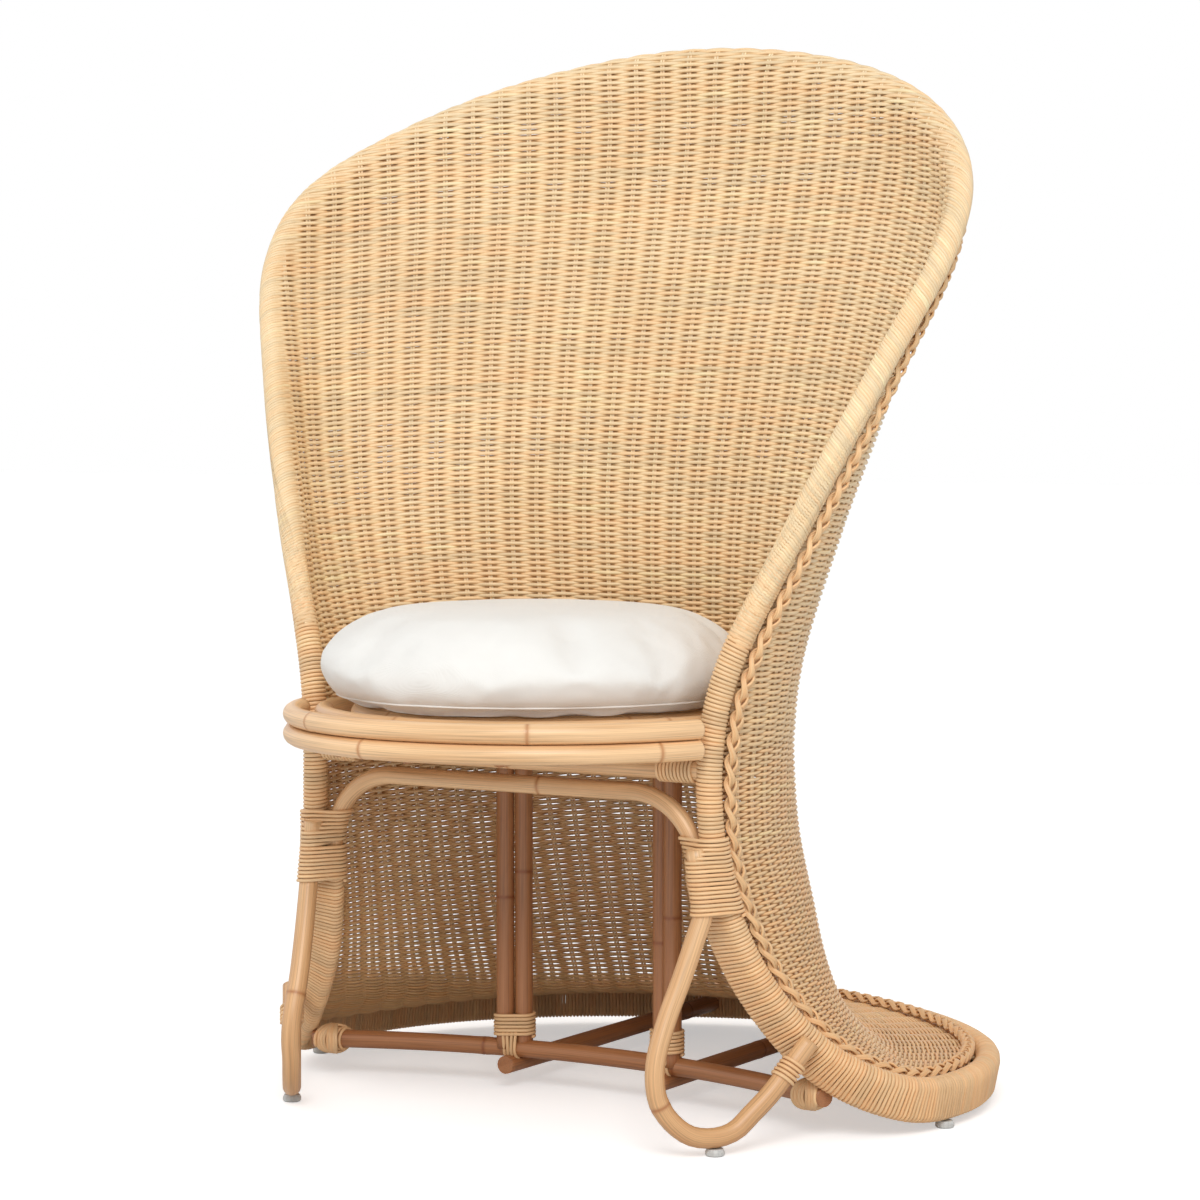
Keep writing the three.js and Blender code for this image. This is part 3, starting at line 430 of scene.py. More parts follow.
def pole(name, line, radius, seed, closed):
    """A rattan pole with swollen, darker nodes."""
    rng = np.random.default_rng(seed)
    if closed:
        line = np.vstack([line, line[:1]])
    length = arc_lengths(line)[-1]
    knots = np.cumsum(rng.uniform(*NODE_GAP, 40)) - rng.uniform(*FIRST_NODE)
    knots = knots[knots < length - 0.01]
    near = np.array([-11, -7, -4, -2.2, -1.1, 0, 1.1, 2.2, 4, 7, 11]) / 1000
    marks = np.concatenate([np.arange(0, length, POLE_STEP), [length], (knots[:, None] + near).ravel()])
    marks = np.unique(np.round(np.clip(marks, 0, length), 5))
    if closed:
        marks = marks[:-1]
    gap = np.abs(marks[:, None] - knots).min(1) if len(knots) else marks + 1
    swell = 1 + 0.055 * np.exp(-((gap / 0.0045) ** 2)) - 0.045 * np.exp(-((gap / 0.0012) ** 2))
    swell += 0.012 * np.sin(marks * 19 + seed)
    ring = np.exp(-((gap / 0.0021) ** 2))
    return tube(name, [along(line, marks)], radius, 6, [swell], closed, not closed, [ring])


def set_pole(node, slot, line, radius, seed, ending="_pole", closed=False):
    """A dressed pole in the place of a node."""
    return dress(pole(node + ending, line, radius, seed, closed), slot, finish(slot), node)


# Materials
PLAIN = (1, 1, 1)
# Painted shade: how dark each kind of cane and pole gets near the floor
WEAVE_LOW_SHADE = (0.9, 0.74, 0.58)
BINDING_LOW_SHADE = (0.96, 0.9, 0.84)
POLE_LOW_SHADE = (0.81, 0.71, 0.61)


def nodes_of(name):
    material = bpy.data.materials.new(name)
    material.use_nodes = True
    tree = material.node_tree
    tree.nodes.clear()
    shader = tree.nodes.new("ShaderNodeBsdfPrincipled")
    output = tree.nodes.new("ShaderNodeOutputMaterial")
    tree.links.new(shader.outputs[0], output.inputs[0])
    return material, tree, shader


def noise(tree, source, scale, stretch=(1, 1, 1), detail=3.0):
    mapping = tree.nodes.new("ShaderNodeMapping")
    mapping.inputs["Scale"].default_value = stretch
    tree.links.new(source, mapping.inputs["Vector"])
    texture = tree.nodes.new("ShaderNodeTexNoise")
    texture.inputs["Scale"].default_value = scale
    texture.inputs["Detail"].default_value = detail
    tree.links.new(mapping.outputs[0], texture.inputs["Vector"])
    return texture.outputs[0]


def fill_socket(tree, socket, value):
    if isinstance(value, bpy.types.NodeSocket):
        tree.links.new(value, socket)
    else:
        socket.default_value = value


def ramp(tree, source, stops):
    node = tree.nodes.new("ShaderNodeValToRGB")
    while len(node.color_ramp.elements) < len(stops):
        node.color_ramp.elements.new(0.5)
    for element, (place, colour) in zip(node.color_ramp.elements, stops):
        element.position = place
        element.color = (*colour, 1)
    tree.links.new(source, node.inputs[0])
    return node.outputs[0]


def mixed(tree, a, b, share=1.0, kind="MULTIPLY"):
    node = tree.nodes.new("ShaderNodeMix")
    node.data_type = "RGBA"
    node.blend_type = kind
    for k, value in ((0, share), (6, a), (7, b)):
        fill_socket(tree, node.inputs[k], value)
    return node.outputs[2]


def attribute(tree, name, output="Fac"):
    node = tree.nodes.new("ShaderNodeAttribute")
    node.attribute_name = name
    return node.outputs[output]


def object_place(tree):
    return tree.nodes.new("ShaderNodeTexCoord").outputs["Object"]


def uneven_roughness(tree, source, shader, low, high):
    span = tree.nodes.new("ShaderNodeMapRange")
    span.inputs["To Min"].default_value = low
    span.inputs["To Max"].default_value = high
    tree.links.new(source, span.inputs["Value"])
    tree.links.new(span.outputs[0], shader.inputs["Roughness"])


def reckoned(tree, kind, *values):
    node = tree.nodes.new("ShaderNodeMath")
    node.operation = kind
    for value, socket in zip(values, node.inputs):
        fill_socket(tree, socket, value)
    return node.outputs[0]


def bump(tree, source, shader, strength, distance):
    node = tree.nodes.new("ShaderNodeBump")
    node.inputs["Strength"].default_value = strength
    node.inputs["Distance"].default_value = distance
    tree.links.new(source, node.inputs["Height"])
    tree.links.new(node.outputs[0], shader.inputs["Normal"])


def shade(colour, value):
    return tuple(min(1.0, c * value) for c in colour)


def painted_low_shade(tree, colour, low, low_shade, high):
    """The colour with painted shade, gradually darker from the height high down to the height low."""
    split = tree.nodes.new("ShaderNodeSeparateXYZ")
    tree.links.new(object_place(tree), split.inputs[0])
    return mixed(tree, colour, ramp(tree, split.outputs["Z"], [(low, low_shade), (high, PLAIN)]))


def cane_finish(name, colour, low_shade):
    """Split cane: each strand its own tones, fine streaks along it, painted shade in the hollows between the
    rows and painted shade low down.
    """
    material, tree, shader = nodes_of(name)
    pink = (colour[0] * 1.02, colour[1] * 0.93, colour[2] * 0.86)
    stops = [(0, shade(colour, 0.86)), (0.4, colour), (0.75, pink), (1, shade(colour, 1.14))]
    tones = ramp(tree, attribute(tree, "strand"), stops)
    streak = noise(tree, attribute(tree, "fibre", "Vector"), 1.0, (60, 1.4, 1.4), 4)
    streaks = ramp(tree, streak, [(0.3, (0.84, 0.79, 0.73)), (0.6, PLAIN)])
    stops = [(0.3, (0.94, 0.91, 0.87)), (0.7, PLAIN)]
    clouds = ramp(tree, noise(tree, object_place(tree), 6, detail=2), stops)
    # Painted shade: the deeper a point lies in the weave, the darker it is
    stops = [(0.05, (0.46, 0.32, 0.2)), (0.3, (0.88, 0.8, 0.7)), (0.55, PLAIN)]
    painted_hollow_shade = ramp(tree, attribute(tree, "height"), stops)
    cane = mixed(tree, mixed(tree, mixed(tree, tones, streaks, 0.7), clouds), painted_hollow_shade)
    # Painted shade, darker towards the floor
    tree.links.new(painted_low_shade(tree, cane, 0.1, low_shade, 0.62), shader.inputs["Base Color"])
    uneven_roughness(tree, streak, shader, 0.34, 0.52)
    bump(tree, streak, shader, 0.35, 0.0004)
    return material


def pole_finish(name, colour):
    """A bent rattan pole: long fibres, cloudy tone, dark rings at its nodes and painted shade low down."""
    material, tree, shader = nodes_of(name)
    fibre = attribute(tree, "fibre", "Vector")
    fine = noise(tree, fibre, 1.0, (9, 9, 9), 5)
    stops = [(0.28, shade(colour, 0.66)), (0.45, shade(colour, 0.93)), (0.7, shade(colour, 1.12))]
    tones = ramp(tree, fine, stops)
    stops = [(0.32, (0.74, 0.6, 0.45)), (0.6, PLAIN)]
    clouds = ramp(tree, noise(tree, fibre, 1.0, (5, 0.7, 0.7), 3), stops)
    dark = (colour[0] * 0.62, colour[1] * 0.45, colour[2] * 0.34, 1)
    wood = mixed(tree, mixed(tree, tones, clouds, 0.8), dark, attribute(tree, "ring"), "MIX")
    # Painted shade, darker towards the floor
    tree.links.new(painted_low_shade(tree, wood, 0.03, POLE_LOW_SHADE, 0.4), shader.inputs["Base Color"])
    uneven_roughness(tree, fine, shader, 0.32, 0.54)
    shader.inputs["Coat Weight"].default_value = 0.25
    shader.inputs["Coat Roughness"].default_value = 0.3
    bump(tree, fine, shader, 0.3, 0.0005)
    return material


def cotton_finish(name, colour):
    """Plain cotton: a fine canvas weave, soft creases with painted shade in their hollows and a little sheen.
    """
    material, tree, shader = nodes_of(name)
    place = object_place(tree)
    threads = []
    for direction in ("X", "Y"):
        wave = tree.nodes.new("ShaderNodeTexWave")
        wave.bands_direction = direction
        wave.inputs["Scale"].default_value = 420
        wave.inputs["Distortion"].default_value = 1.2
        wave.inputs["Detail Scale"].default_value = 3
        tree.links.new(place, wave.inputs["Vector"])
        threads.append(wave.outputs["Fac"])
    crease_and_shade = noise(tree, place, 9, (1, 1, 2.2), 4)
    heights = reckoned(tree, "MULTIPLY_ADD", crease_and_shade, 9, reckoned(tree, "ADD", *threads))
    # Painted shade: the tone is darker where the creases sink
    tone = ramp(tree, crease_and_shade, [(0.3, shade(colour, 0.95)), (0.7, colour)])
    tree.links.new(tone, shader.inputs["Base Color"])
    shader.inputs["Roughness"].default_value = 0.9
    shader.inputs["Sheen Weight"].default_value = 0.2
    bump(tree, heights, shader, 0.35, 0.0004)
    return material


def plastic_finish(name, colour):
    """Moulded plastic with a scuffed underside."""
    material, tree, shader = nodes_of(name)
    scuff = noise(tree, object_place(tree), 300, detail=4)
    tone = ramp(tree, scuff, [(0.35, shade(colour, 0.85)), (0.65, colour)])
    tree.links.new(tone, shader.inputs["Base Color"])
    shader.inputs["Roughness"].default_value = 0.45
    bump(tree, scuff, shader, 0.2, 0.0002)
    return material


def finish(kind):
    """The finish of a slot, made once."""
    name = "chair_" + kind
    if name in bpy.data.materials:
        return bpy.data.materials[name]
    colour = tuple(getattr(bpy.context.scene.chair_colours, kind))
    if kind in ("rattan_pole", "dark_rattan"):
        return pole_finish(name, colour)
    if kind == "cushion_cotton":
        return cotton_finish(name, colour)
    if kind == "glide_plastic":
        return plastic_finish(name, colour)
    return cane_finish(name, colour, WEAVE_LOW_SHADE if kind == "woven_cane" else BINDING_LOW_SHADE)


# The weave
FIRST_PLACE = 0.06
TAIL_PLACE = 4.5
STAKE_SPACING = 0.003
STAKE_FOOT = 0.414
STAKE_RISE = 0.727
SEAT_REACH = (0.47, 0.62)
TAIL_REACH = 0.62
JOIN_PLACES = 0.7
EDGE_SHARE = 0.995
ROLL_WAVE = 0.0012
JITTER = 0.08


def reach_at(v):
    """The arc length from the spine to the outermost stake line at place v, which may lie past the edge."""
    low, high = SEAT_REACH
    above = low + (high - low) * (rim_at(v)[..., 2] - STAKE_FOOT) / STAKE_RISE
    join = np.clip((v - SEAT_PLACE) / JOIN_PLACES, 0, 1)
    upper = np.interp(v, PLACES, SPAN) * (1 - join) + above * join
    tail = np.interp(TAIL_PLACE, PLACES, SPAN)
    lower = tail + (TAIL_REACH - tail) * (1 - v / TAIL_PLACE)
    return EDGE_SHARE * np.where(v < TAIL_PLACE, lower, upper)


def skirt_line(share):
    """Places and arc lengths up one stake of the skirt, cut where it meets the rim."""
    v = np.append(np.arange(FIRST_PLACE, SEAT_PLACE, 0.035), SEAT_PLACE)
    s = share * reach_at(v)
    inside = np.abs(s) <= np.interp(v, PLACES, SPAN) + 1e-5
    return v[inside], s[inside]


def skirt_stakes(count):
    """Pairs of stakes as lines of points."""
    lines = []
    for k in range(-count, count + 1):
        v, s = skirt_line(k / count)
        if len(v) > 3:
            lines += [on_sheet(s + side * STAKE_SPACING / 2, v)[0] for side in (-1, 1)]
    return lines


def stake_angles():
    """Angles between the rim's way down and the stakes that reach it, at each place of the roll."""
    share = np.interp(ROLL_PLACE, PLACES, SPAN) / reach_at(ROLL_PLACE)
    here, before = (on_sheet(share * reach_at(v), v)[0] for v in (ROLL_PLACE, ROLL_PLACE - 0.05))
    way = here - before
    _, tangent, into, _ = rim_frame(ROLL_PLACE)
    angle = np.arctan2(-(way * into).sum(-1), -(way * tangent).sum(-1))
    known = (ROLL_PLACE < LAST_ROW + 0.2) & (ROLL_PLACE > SEAT_PLACE + 0.1)
    angle = np.interp(ROLL_RUN, np.append(0, ROLL_RUN[known]), np.append(math.pi / 2, angle[known]))
    return np.convolve(np.pad(angle, 60, "edge"), np.ones(121) / 121, "valid")


def back_lines(shares):
    """Lines up the right half's stakes: point, way out, depth past the edge, place and rise at the rim."""
    angles = stake_angles()
    places = np.arange(SEAT_PLACE, LAST_ROW, 0.03)
    flat, run, depth = [], [], []
    for share in shares:
        s = share * reach_at(places)
        outside = np.nonzero(s > np.interp(places, PLACES, SPAN) + 1e-5)[0]
        held = slice(0, outside[0] if len(outside) else len(places))
        points, normals = on_sheet(s[held], places[held])
        flat.append(np.c_[points, normals, np.full(len(points), -0.1), places[held], np.ones(len(points))])
        if len(points):
            k = np.linalg.norm(ROLL_POINT - points[-1], axis=1).argmin()
            run.append(ROLL_RUN[k])
            depth.append(EDGE_INSET - (points[-1] - ROLL_POINT[k]) @ ROLL_INTO[k])
        else:
            run.append(ROLL_RUN[-1])
            depth.append((share - 1) * reach_at(SEAT_PLACE))
    path = [np.array([run, depth])]
    while path[-1][1].min() < ROLL_DEPTH and len(path) < 450:
        angle = np.interp(path[-1][0], ROLL_RUN, angles)
        moved = path[-1] + 0.002 * np.array([np.cos(angle), np.sin(angle)])
        path.append(np.abs(moved))
    run, depth = np.moveaxis(np.array(path)[1:], 1, 0)
    points, ways = rolled(run, depth)
    place = np.interp(run, ROLL_RUN, ROLL_PLACE)
    rise = np.sin(np.interp(run, ROLL_RUN, angles)) ** 2
    over = np.concatenate([points, ways, depth[..., None], place[..., None], rise[..., None]], -1)
    return [np.vstack([a, over[over[:, k, 6] < ROLL_DEPTH, k]]) for k, a in enumerate(flat)]


def back_stakes(count):
    """Pairs of stakes up the back, which end over the rim."""
    shares = np.arange(count + 1)[:, None] / count + np.array((-1, 1)) * STAKE_SPACING / 2 / reach_at(12.0)
    lines = []
    for line in back_lines(shares.ravel()[1:]):
        if len(line) < 12:
            continue
        flat = line[line[:, 6] < -0.05]
        over = line[line[:, 6] > -0.05]
        over = over[(over[:, 6] < EDGE_INSET + 0.02) & (np.arange(len(over)) < 26)]
        line = np.vstack([flat[:-1:3], flat[-1:], over])[:, :3]
        lines += [line, line * MIRROR]
    return lines


def woven(points, ways, marks, row, amplitude):
    """A weft, over and under the stakes in turn, with the middle of the sheet under it."""
    wave = amplitude * np.cos(np.pi * marks) * (1 if row % 2 else -1)
    return np.concatenate([points + ways * wave[:, None], points, ways], -1)


def stretches(held):
    """The runs of following numbers in a list of numbers."""
    return np.split(held, np.nonzero(np.diff(held) > 1)[0] + 1)


def back_wefts(count, pitch, amplitude):
    """Rows at equal distances above the seat, along the stakes and on over the rim."""
    fine = 16
    marks = np.arange(fine * count + 36)
    lines = back_lines(marks / fine / count)
    most = max(arc_lengths(line)[-1] for line in lines)
    reach = np.arange(int(most / pitch))
    reach = (reach + np.random.default_rng(5).uniform(-JITTER, JITTER, len(reach))) * pitch
    reach[0] = 0
    grid = np.full((len(marks), len(reach), 9), np.nan)
    for k, line in enumerate(lines):
        arc = arc_lengths(line)
        held = reach <= arc[-1]
        grid[k, held] = columns_at(reach[held], arc, line)
    depth, place = grid[..., 6], grid[..., 7]
    grid[(depth > -0.05) & (place < ROLL_FROM[0])] = np.nan
    wefts = []
    for row in range(len(reach)):
        held = np.nonzero(~np.isnan(grid[:, row, 0]))[0]
        for part in stretches(held):
            part = part[(part % 4 == 0) | (depth[part, row] > -0.05) | (part == part.max(initial=0))]
            if len(part) < 3:
                continue
            at = grid[part, row]
            over = eased(at[:, 6] / EDGE_INSET)
            back = 1 - eased((at[:, 6] - EDGE_INSET - 1.2 * ROLL) / 0.012)
            swing = amplitude * (1 - over) + ROLL_WAVE * at[:, 8] * over * back
            line = woven(at[:, :3], unit(at[:, 3:6]), part / fine, row, swing)
            mirrored = line * np.tile(MIRROR, 3)
            wefts += [np.vstack([mirrored[:0:-1], line])] if part[0] == 0 else [line, mirrored]
    return wefts


def skirt_wefts(count, pitch, amplitude):
    """Rings at equal distances below the seat, which end on the rim."""
    fine = 4
    marks = np.arange(-fine * count, fine * count + 1)
    runs = []
    for mark in marks:
        v, s = skirt_line(mark / count / fine)
        line = np.concatenate(on_sheet(s[::-1], v[::-1]), -1)
        runs.append((arc_lengths(line), line))
    totals = np.array([arc[-1] for arc, _ in runs])
    rng = np.random.default_rng(6)
    lines = []
    for row in range(1, int(totals.max() / pitch)):
        reach = (row + rng.uniform(-JITTER, JITTER)) * pitch
        held = np.nonzero(totals >= reach)[0]
        for part in stretches(held):
            if len(part) < 3:
                continue
            at = np.array([columns_at(reach, *runs[k]) for k in part])
            lines.append(woven(at[:, :3], unit(at[:, 3:]), marks[part] / fine, row, amplitude))
    return lines


def shared_out(lines):
    """Groups of lines that each make a six-sided mesh under the most triangles."""
    groups, held = [[]], 0
    for line in lines:
        faces = 2 * 6 * len(line)
        if held + faces > MOST_TRIANGLES:
            groups.append([])
            held = 0
        groups[-1].append(line)
        held += faces
    return groups


def hull_point(circles, out):
    """The outermost point of circles in a direction."""
    centre, radius = max(circles, key=lambda c: c[0] @ out + c[1])
    return centre + out * radius


def coil(circles_at, first, second, start, end, pitch, strand):
    """A cane wound round circles, along one axis."""
    points, steps = [], 16
    for k in range(int((end - start) / pitch * steps) + 1):
        angle = 2 * math.pi * k / steps
        out = first * math.cos(angle) + second * math.sin(angle)
        points.append(hull_point(circles_at(start + pitch * k / steps), out) + out * strand)
    return np.array(points)


BINDING_SUNK = 0.0002
TOP_SUNK = 0.001


def rim_winding(low, high, pitch, strand):
    """The binding round the rim and, below the joint, round the lower pole too."""
    steps = 14
    fine = np.linspace(low, high, 2000)
    arc = arc_lengths(rim_at(fine))
    count = int(arc[-1] / pitch * steps)
    v = np.interp(np.arange(count) * pitch / steps, arc, fine)
    point, tangent, into, out = rim_frame(v)
    angle = 2 * np.pi * np.arange(count) / steps
    way = into * np.cos(angle)[:, None] + out * np.sin(angle)[:, None]
    lower = lower_pole_at(v)
    lower -= tangent * ((lower - point) * tangent).sum(-1, keepdims=True)
    rim_reach = RIM_RADIUS - strand - BINDING_SUNK - TOP_SUNK * eased((v - ROLL_FROM[0] + 0.1) / 0.4)[:, None]
    lower_reach = LOWER_RADIUS - strand - BINDING_SUNK
    further = ((lower - point) * way).sum(-1, keepdims=True) + lower_reach > rim_reach
    use = further & (v < JOINT_PLACE)[:, None]
    return np.where(use, lower + way * lower_reach, point + way * rim_reach)


BRAID_WIDTH = 0.0185
BRAID_THICKNESS = 0.0112
BRAID_CANE = 0.00135
BRAID_ASIDE = 0.0085
BRAID_LIFT = 0.0066


def braid_lines(period):
    """Three plaited groups of canes along the outer side of the rim."""
    v = np.linspace(0, LAST, 3000)
    point, _, into, out = rim_frame(v)
    centre = point + into * (RIM_RADIUS + BRAID_ASIDE) + out * (SHEET_HALF + BRAID_LIFT)
    arc = arc_lengths(centre)
    total = 2 * arc[-1]
    periods = round(total / period)
    marks = np.arange(periods * 16) * total / (periods * 16)  # 16 points in each turn
    half = np.where(marks <= arc[-1], marks, total - marks)
    flip = flipped(marks > arc[-1])
    middle, across, up = (columns_at(half, arc, field) * flip for field in (centre, into, out))
    lines = []
    for group in range(3):
        phase = 2 * np.pi * (marks * periods / total + group / 3)
        swing = (BRAID_WIDTH / 2 - 3.2 * BRAID_CANE) * np.sin(phase)
        lift = (BRAID_THICKNESS / 2 - 1.6 * BRAID_CANE) * np.sin(2 * phase)
        for place in (-1.5, -0.5, 0.5, 1.5):
            spread = place * 1.5 * BRAID_CANE * np.maximum(np.abs(np.cos(phase)), 0.35)
            rise = lift + BRAID_CANE * (0.3 * (1.5 - abs(place)) - 0.7 * place * np.sin(phase))
            lines.append(middle + across * (swing + spread)[:, None] + up * rise[:, None])
    return lines


# Frame lines
def bow_line(height):
    end_y = SEAT_RIM[1] - RIM_RADIUS - BOW_RADIUS - CLEARANCE
    rise = BOW_REACH + end_y
    radius = (SEAT_RIM[0] ** 2 + rise**2) / 2 / rise
    reach = math.atan2(SEAT_RIM[0], radius - BOW_REACH - end_y)
    angle = np.linspace(-reach, reach, 121)
    return np.stack(
        [radius * np.sin(angle), radius - BOW_REACH - radius * np.cos(angle), 0 * angle + height], -1
    )


def hoop_line():
    s = np.linspace(-1, 1, 161) * float(np.interp(SEAT_PLACE, PLACES, SPAN))
    points, normals = on_sheet(s, SEAT_PLACE)
    line = points + normals * (SHEET_HALF + CLEARANCE + BOW_RADIUS)
    line[:, 2] = SEAT_HEIGHT
    return line


def setback_at(line, x):
    order = np.argsort(line[:, 0])
    return float(np.interp(x, line[order, 0], line[order, 1]))


def arch_line():
    end = lower_pole_at(np.array(JOINT_PLACE))
    angle = np.linspace(0, np.pi / 2, 24)
    across = end[0] - ARCH_BEND * (1 - np.cos(angle))
    up = ARCH_HEIGHT - ARCH_BEND * (1 - np.sin(angle))
    right = np.stack([across, 0 * angle + end[1], up], -1)
    right = np.vstack([[(end[0], end[1], sum(JOINT) / 2)], right])
    middle = np.linspace(right[-1], right[-1] * MIRROR, 40)[1:-1]
    return np.vstack([right, middle, right[::-1] * MIRROR])


LOOP_FRONT_SHARES = (
    (-0.17, -1.2, 1), (-0.11, -1.14, 0.9), (-0.07, -0.97, 0.78), (-0.2, -0.86, 0.7),
    (-0.46, -0.64, 0.56), (-0.75, -0.37, 0.42), (-0.97, -0.03, 0.29), (-1, 0.05, 0.21),
    (-0.93, 0, 0.14), (-0.73, 0, 0.07), (-0.4, 0, 0.014), (0, 0, 0),
)
LOOP_REAR_SHARES = (
    (0.21, 0, 0.019), (0.37, 0, 0.068), (0.58, 0, 0.137), (0.76, 0, 0.211), (1, 0, 0.312),
)


def loop_line(sign):
    """A hairpin leg, from its top end down, round and up again."""
    front, rear = LOOP_REACH  # of the stations before and behind the foot
    shares = np.vstack(
        [np.array(LOOP_FRONT_SHARES) * (front, 1, 1), np.array(LOOP_REAR_SHARES) * (rear, 1, 1)]
    )
    run, lean, up = shares.T
    across = LOOP_SPREAD + run * math.sin(LOOP_SPLAY) + lean * LOOP_LEAN * math.cos(LOOP_SPLAY)
    along_y = run * math.cos(LOOP_SPLAY) - lean * LOOP_LEAN * math.sin(LOOP_SPLAY) - LOOP_SETBACK
    rise = JOINT[1] - LEG_TOP_DEPTH - LOOP_HEIGHT
    return through(np.stack([sign * across, along_y, LOOP_HEIGHT + up * rise], -1))


def stretcher_y(x):
    middle, end = STRETCHER_SETBACK
    return middle + (end - middle) * (x / STRETCHER_HALF) ** 2


def stretcher_line():
    x = np.linspace(-STRETCHER_END, STRETCHER_END, 90)
    return np.stack([x, stretcher_y(x), 0 * x + STRETCHER_HEIGHT], -1)


def post_place(sign, shift):
    x = sign * (POST_SPACING + shift * PAIR_SPACING * math.cos(PAIR_TURN))
    return x, stretcher_y(POST_SPACING) - shift * PAIR_SPACING * math.sin(PAIR_TURN)


def at_height(line, height, radius):
    """Where a line passes a height, with the radius that a level cut through its pole needs."""
    line = line[np.argsort(line[:, 2])]
    low, high = columns_at([height - 0.004, height + 0.004], line[:, 2], line)
    run = high - low
    level = (low + high) / 2 * (1 - Z_AXIS) + Z_AXIS * height
    return level, radius * min(np.linalg.norm(run) / max(run[2], 1e-6), 1.5)


# What a user may change
class ChairWeave(bpy.types.PropertyGroup):
    stakes: bpy.props.IntProperty(
        name="Stakes", description="Pairs of stakes on each side of the middle", default=18, min=8, max=30
    )
    row_pitch: bpy.props.FloatProperty(
        name="Row pitch", description="Distance from one weft to the next", default=0.0031, unit="LENGTH"
    )
    weft: bpy.props.FloatProperty(
        name="Weft", description="Diameter of a weft cane", default=0.0043, unit="LENGTH"
    )
    skirt_weft: bpy.props.FloatProperty(
        name="Skirt weft", description="Diameter of a weft cane in the skirt", default=0.0036, unit="LENGTH"
    )
    stake: bpy.props.FloatProperty(
        name="Stake", description="Diameter of a stake", default=0.0029, unit="LENGTH"
    )
    wave: bpy.props.FloatProperty(
        name="Wave", description="How far a weft swings to each side", default=0.0022, unit="LENGTH"
    )
    binding_pitch: bpy.props.FloatProperty(
        name="Binding pitch", description="Distance between the rim's windings", default=0.0042, unit="LENGTH"
    )
    braid_period: bpy.props.FloatProperty(
        name="Braid period", description="Length of one turn of the plait", default=0.066, unit="LENGTH"
    )


class ChairCushion(bpy.types.PropertyGroup):
    pressure: bpy.props.FloatProperty(
        name="Pressure", description="Inner pressure of the filling", default=4.0
    )
    most_move: bpy.props.FloatProperty(
        name="Most move", description="Furthest that the cloth may move", default=0.012, unit="LENGTH"
    )
    start: bpy.props.FloatProperty(
        name="Start size", description="Size of the unfilled cushion", default=0.95, subtype="FACTOR"
    )


def colour_property(name, description, default):
    return bpy.props.FloatVectorProperty(
        name=name, description=description, default=default, subtype="COLOR", min=0, max=1
    )


class ChairColours(bpy.types.PropertyGroup):
    woven_cane: colour_property("Woven cane", "Colour of the sheet's wefts", (0.96, 0.765, 0.49))
    stake_cane: colour_property("Stake cane", "Colour of the sheet's stakes", (0.97, 0.82, 0.58))
    braided_cane: colour_property("Braided cane", "Colour of the plait along the rim", (0.88, 0.61, 0.34))
    lashing_cane: colour_property("Lashing cane", "Colour of the bindings and lashings", (0.91, 0.65, 0.38))
    rattan_pole: colour_property("Rattan pole", "Colour of the pale poles", (0.86, 0.56, 0.30))
    dark_rattan: colour_property("Dark rattan", "Colour of the brown poles", (0.51, 0.24, 0.105))
    cushion_cotton: colour_property("Cushion cotton", "Colour of the cushion's cloth", (0.90, 0.885, 0.845))
    glide_plastic: colour_property("Glide plastic", "Colour of the glides", (0.62, 0.62, 0.6))
    floor: colour_property("Floor", "Colour of the floor", (0.86, 0.86, 0.86))


class ChairStage(bpy.types.PropertyGroup):
    key: bpy.props.FloatProperty(
        name="Key", description="Power of the main light", default=88, unit="POWER"
    )
    fill: bpy.props.FloatProperty(
        name="Fill", description="Power of the light on the other side", default=12, unit="POWER"
    )
    sky: bpy.props.FloatProperty(
        name="Sky", description="Strength of the light from all round", default=0.62
    )


# One operator for each piece or group of pieces
def weave(part, wefts, diameter, stakes):
    """Wefts in groups and stakes, in the place of a part of the sheet."""
    for k, group in enumerate(shared_out(wefts)):
        obj = tube(f"{part}_wefts_{k + 1}", group, diameter / 2)
        dress(obj, "woven_cane", finish("woven_cane"), part + "_weave")
    obj = tube(part + "_stakes", stakes, bpy.context.scene.chair_weave.stake / 2)
    dress(obj, "woven_cane", finish("stake_cane"), part + "_weave")


class CHAIR_OT_back_weave(bpy.types.Operator):
    """Weaves the fan back"""

    bl_idname = "chair.back_weave"
    bl_label = "Back weave"

    def execute(self, context):
        sizes = context.scene.chair_weave
        wefts = back_wefts(sizes.stakes, sizes.row_pitch, sizes.wave)
        weave("back", wefts, sizes.weft, back_stakes(sizes.stakes))
        return {"FINISHED"}


class CHAIR_OT_skirt_weave(bpy.types.Operator):
    """Weaves the skirt and the tail"""

    bl_idname = "chair.skirt_weave"
    bl_label = "Skirt weave"

    def execute(self, context):
        sizes = context.scene.chair_weave
        wefts = skirt_wefts(sizes.stakes, sizes.row_pitch, sizes.wave)
        weave("skirt", wefts, sizes.skirt_weft, skirt_stakes(sizes.stakes))
        return {"FINISHED"}


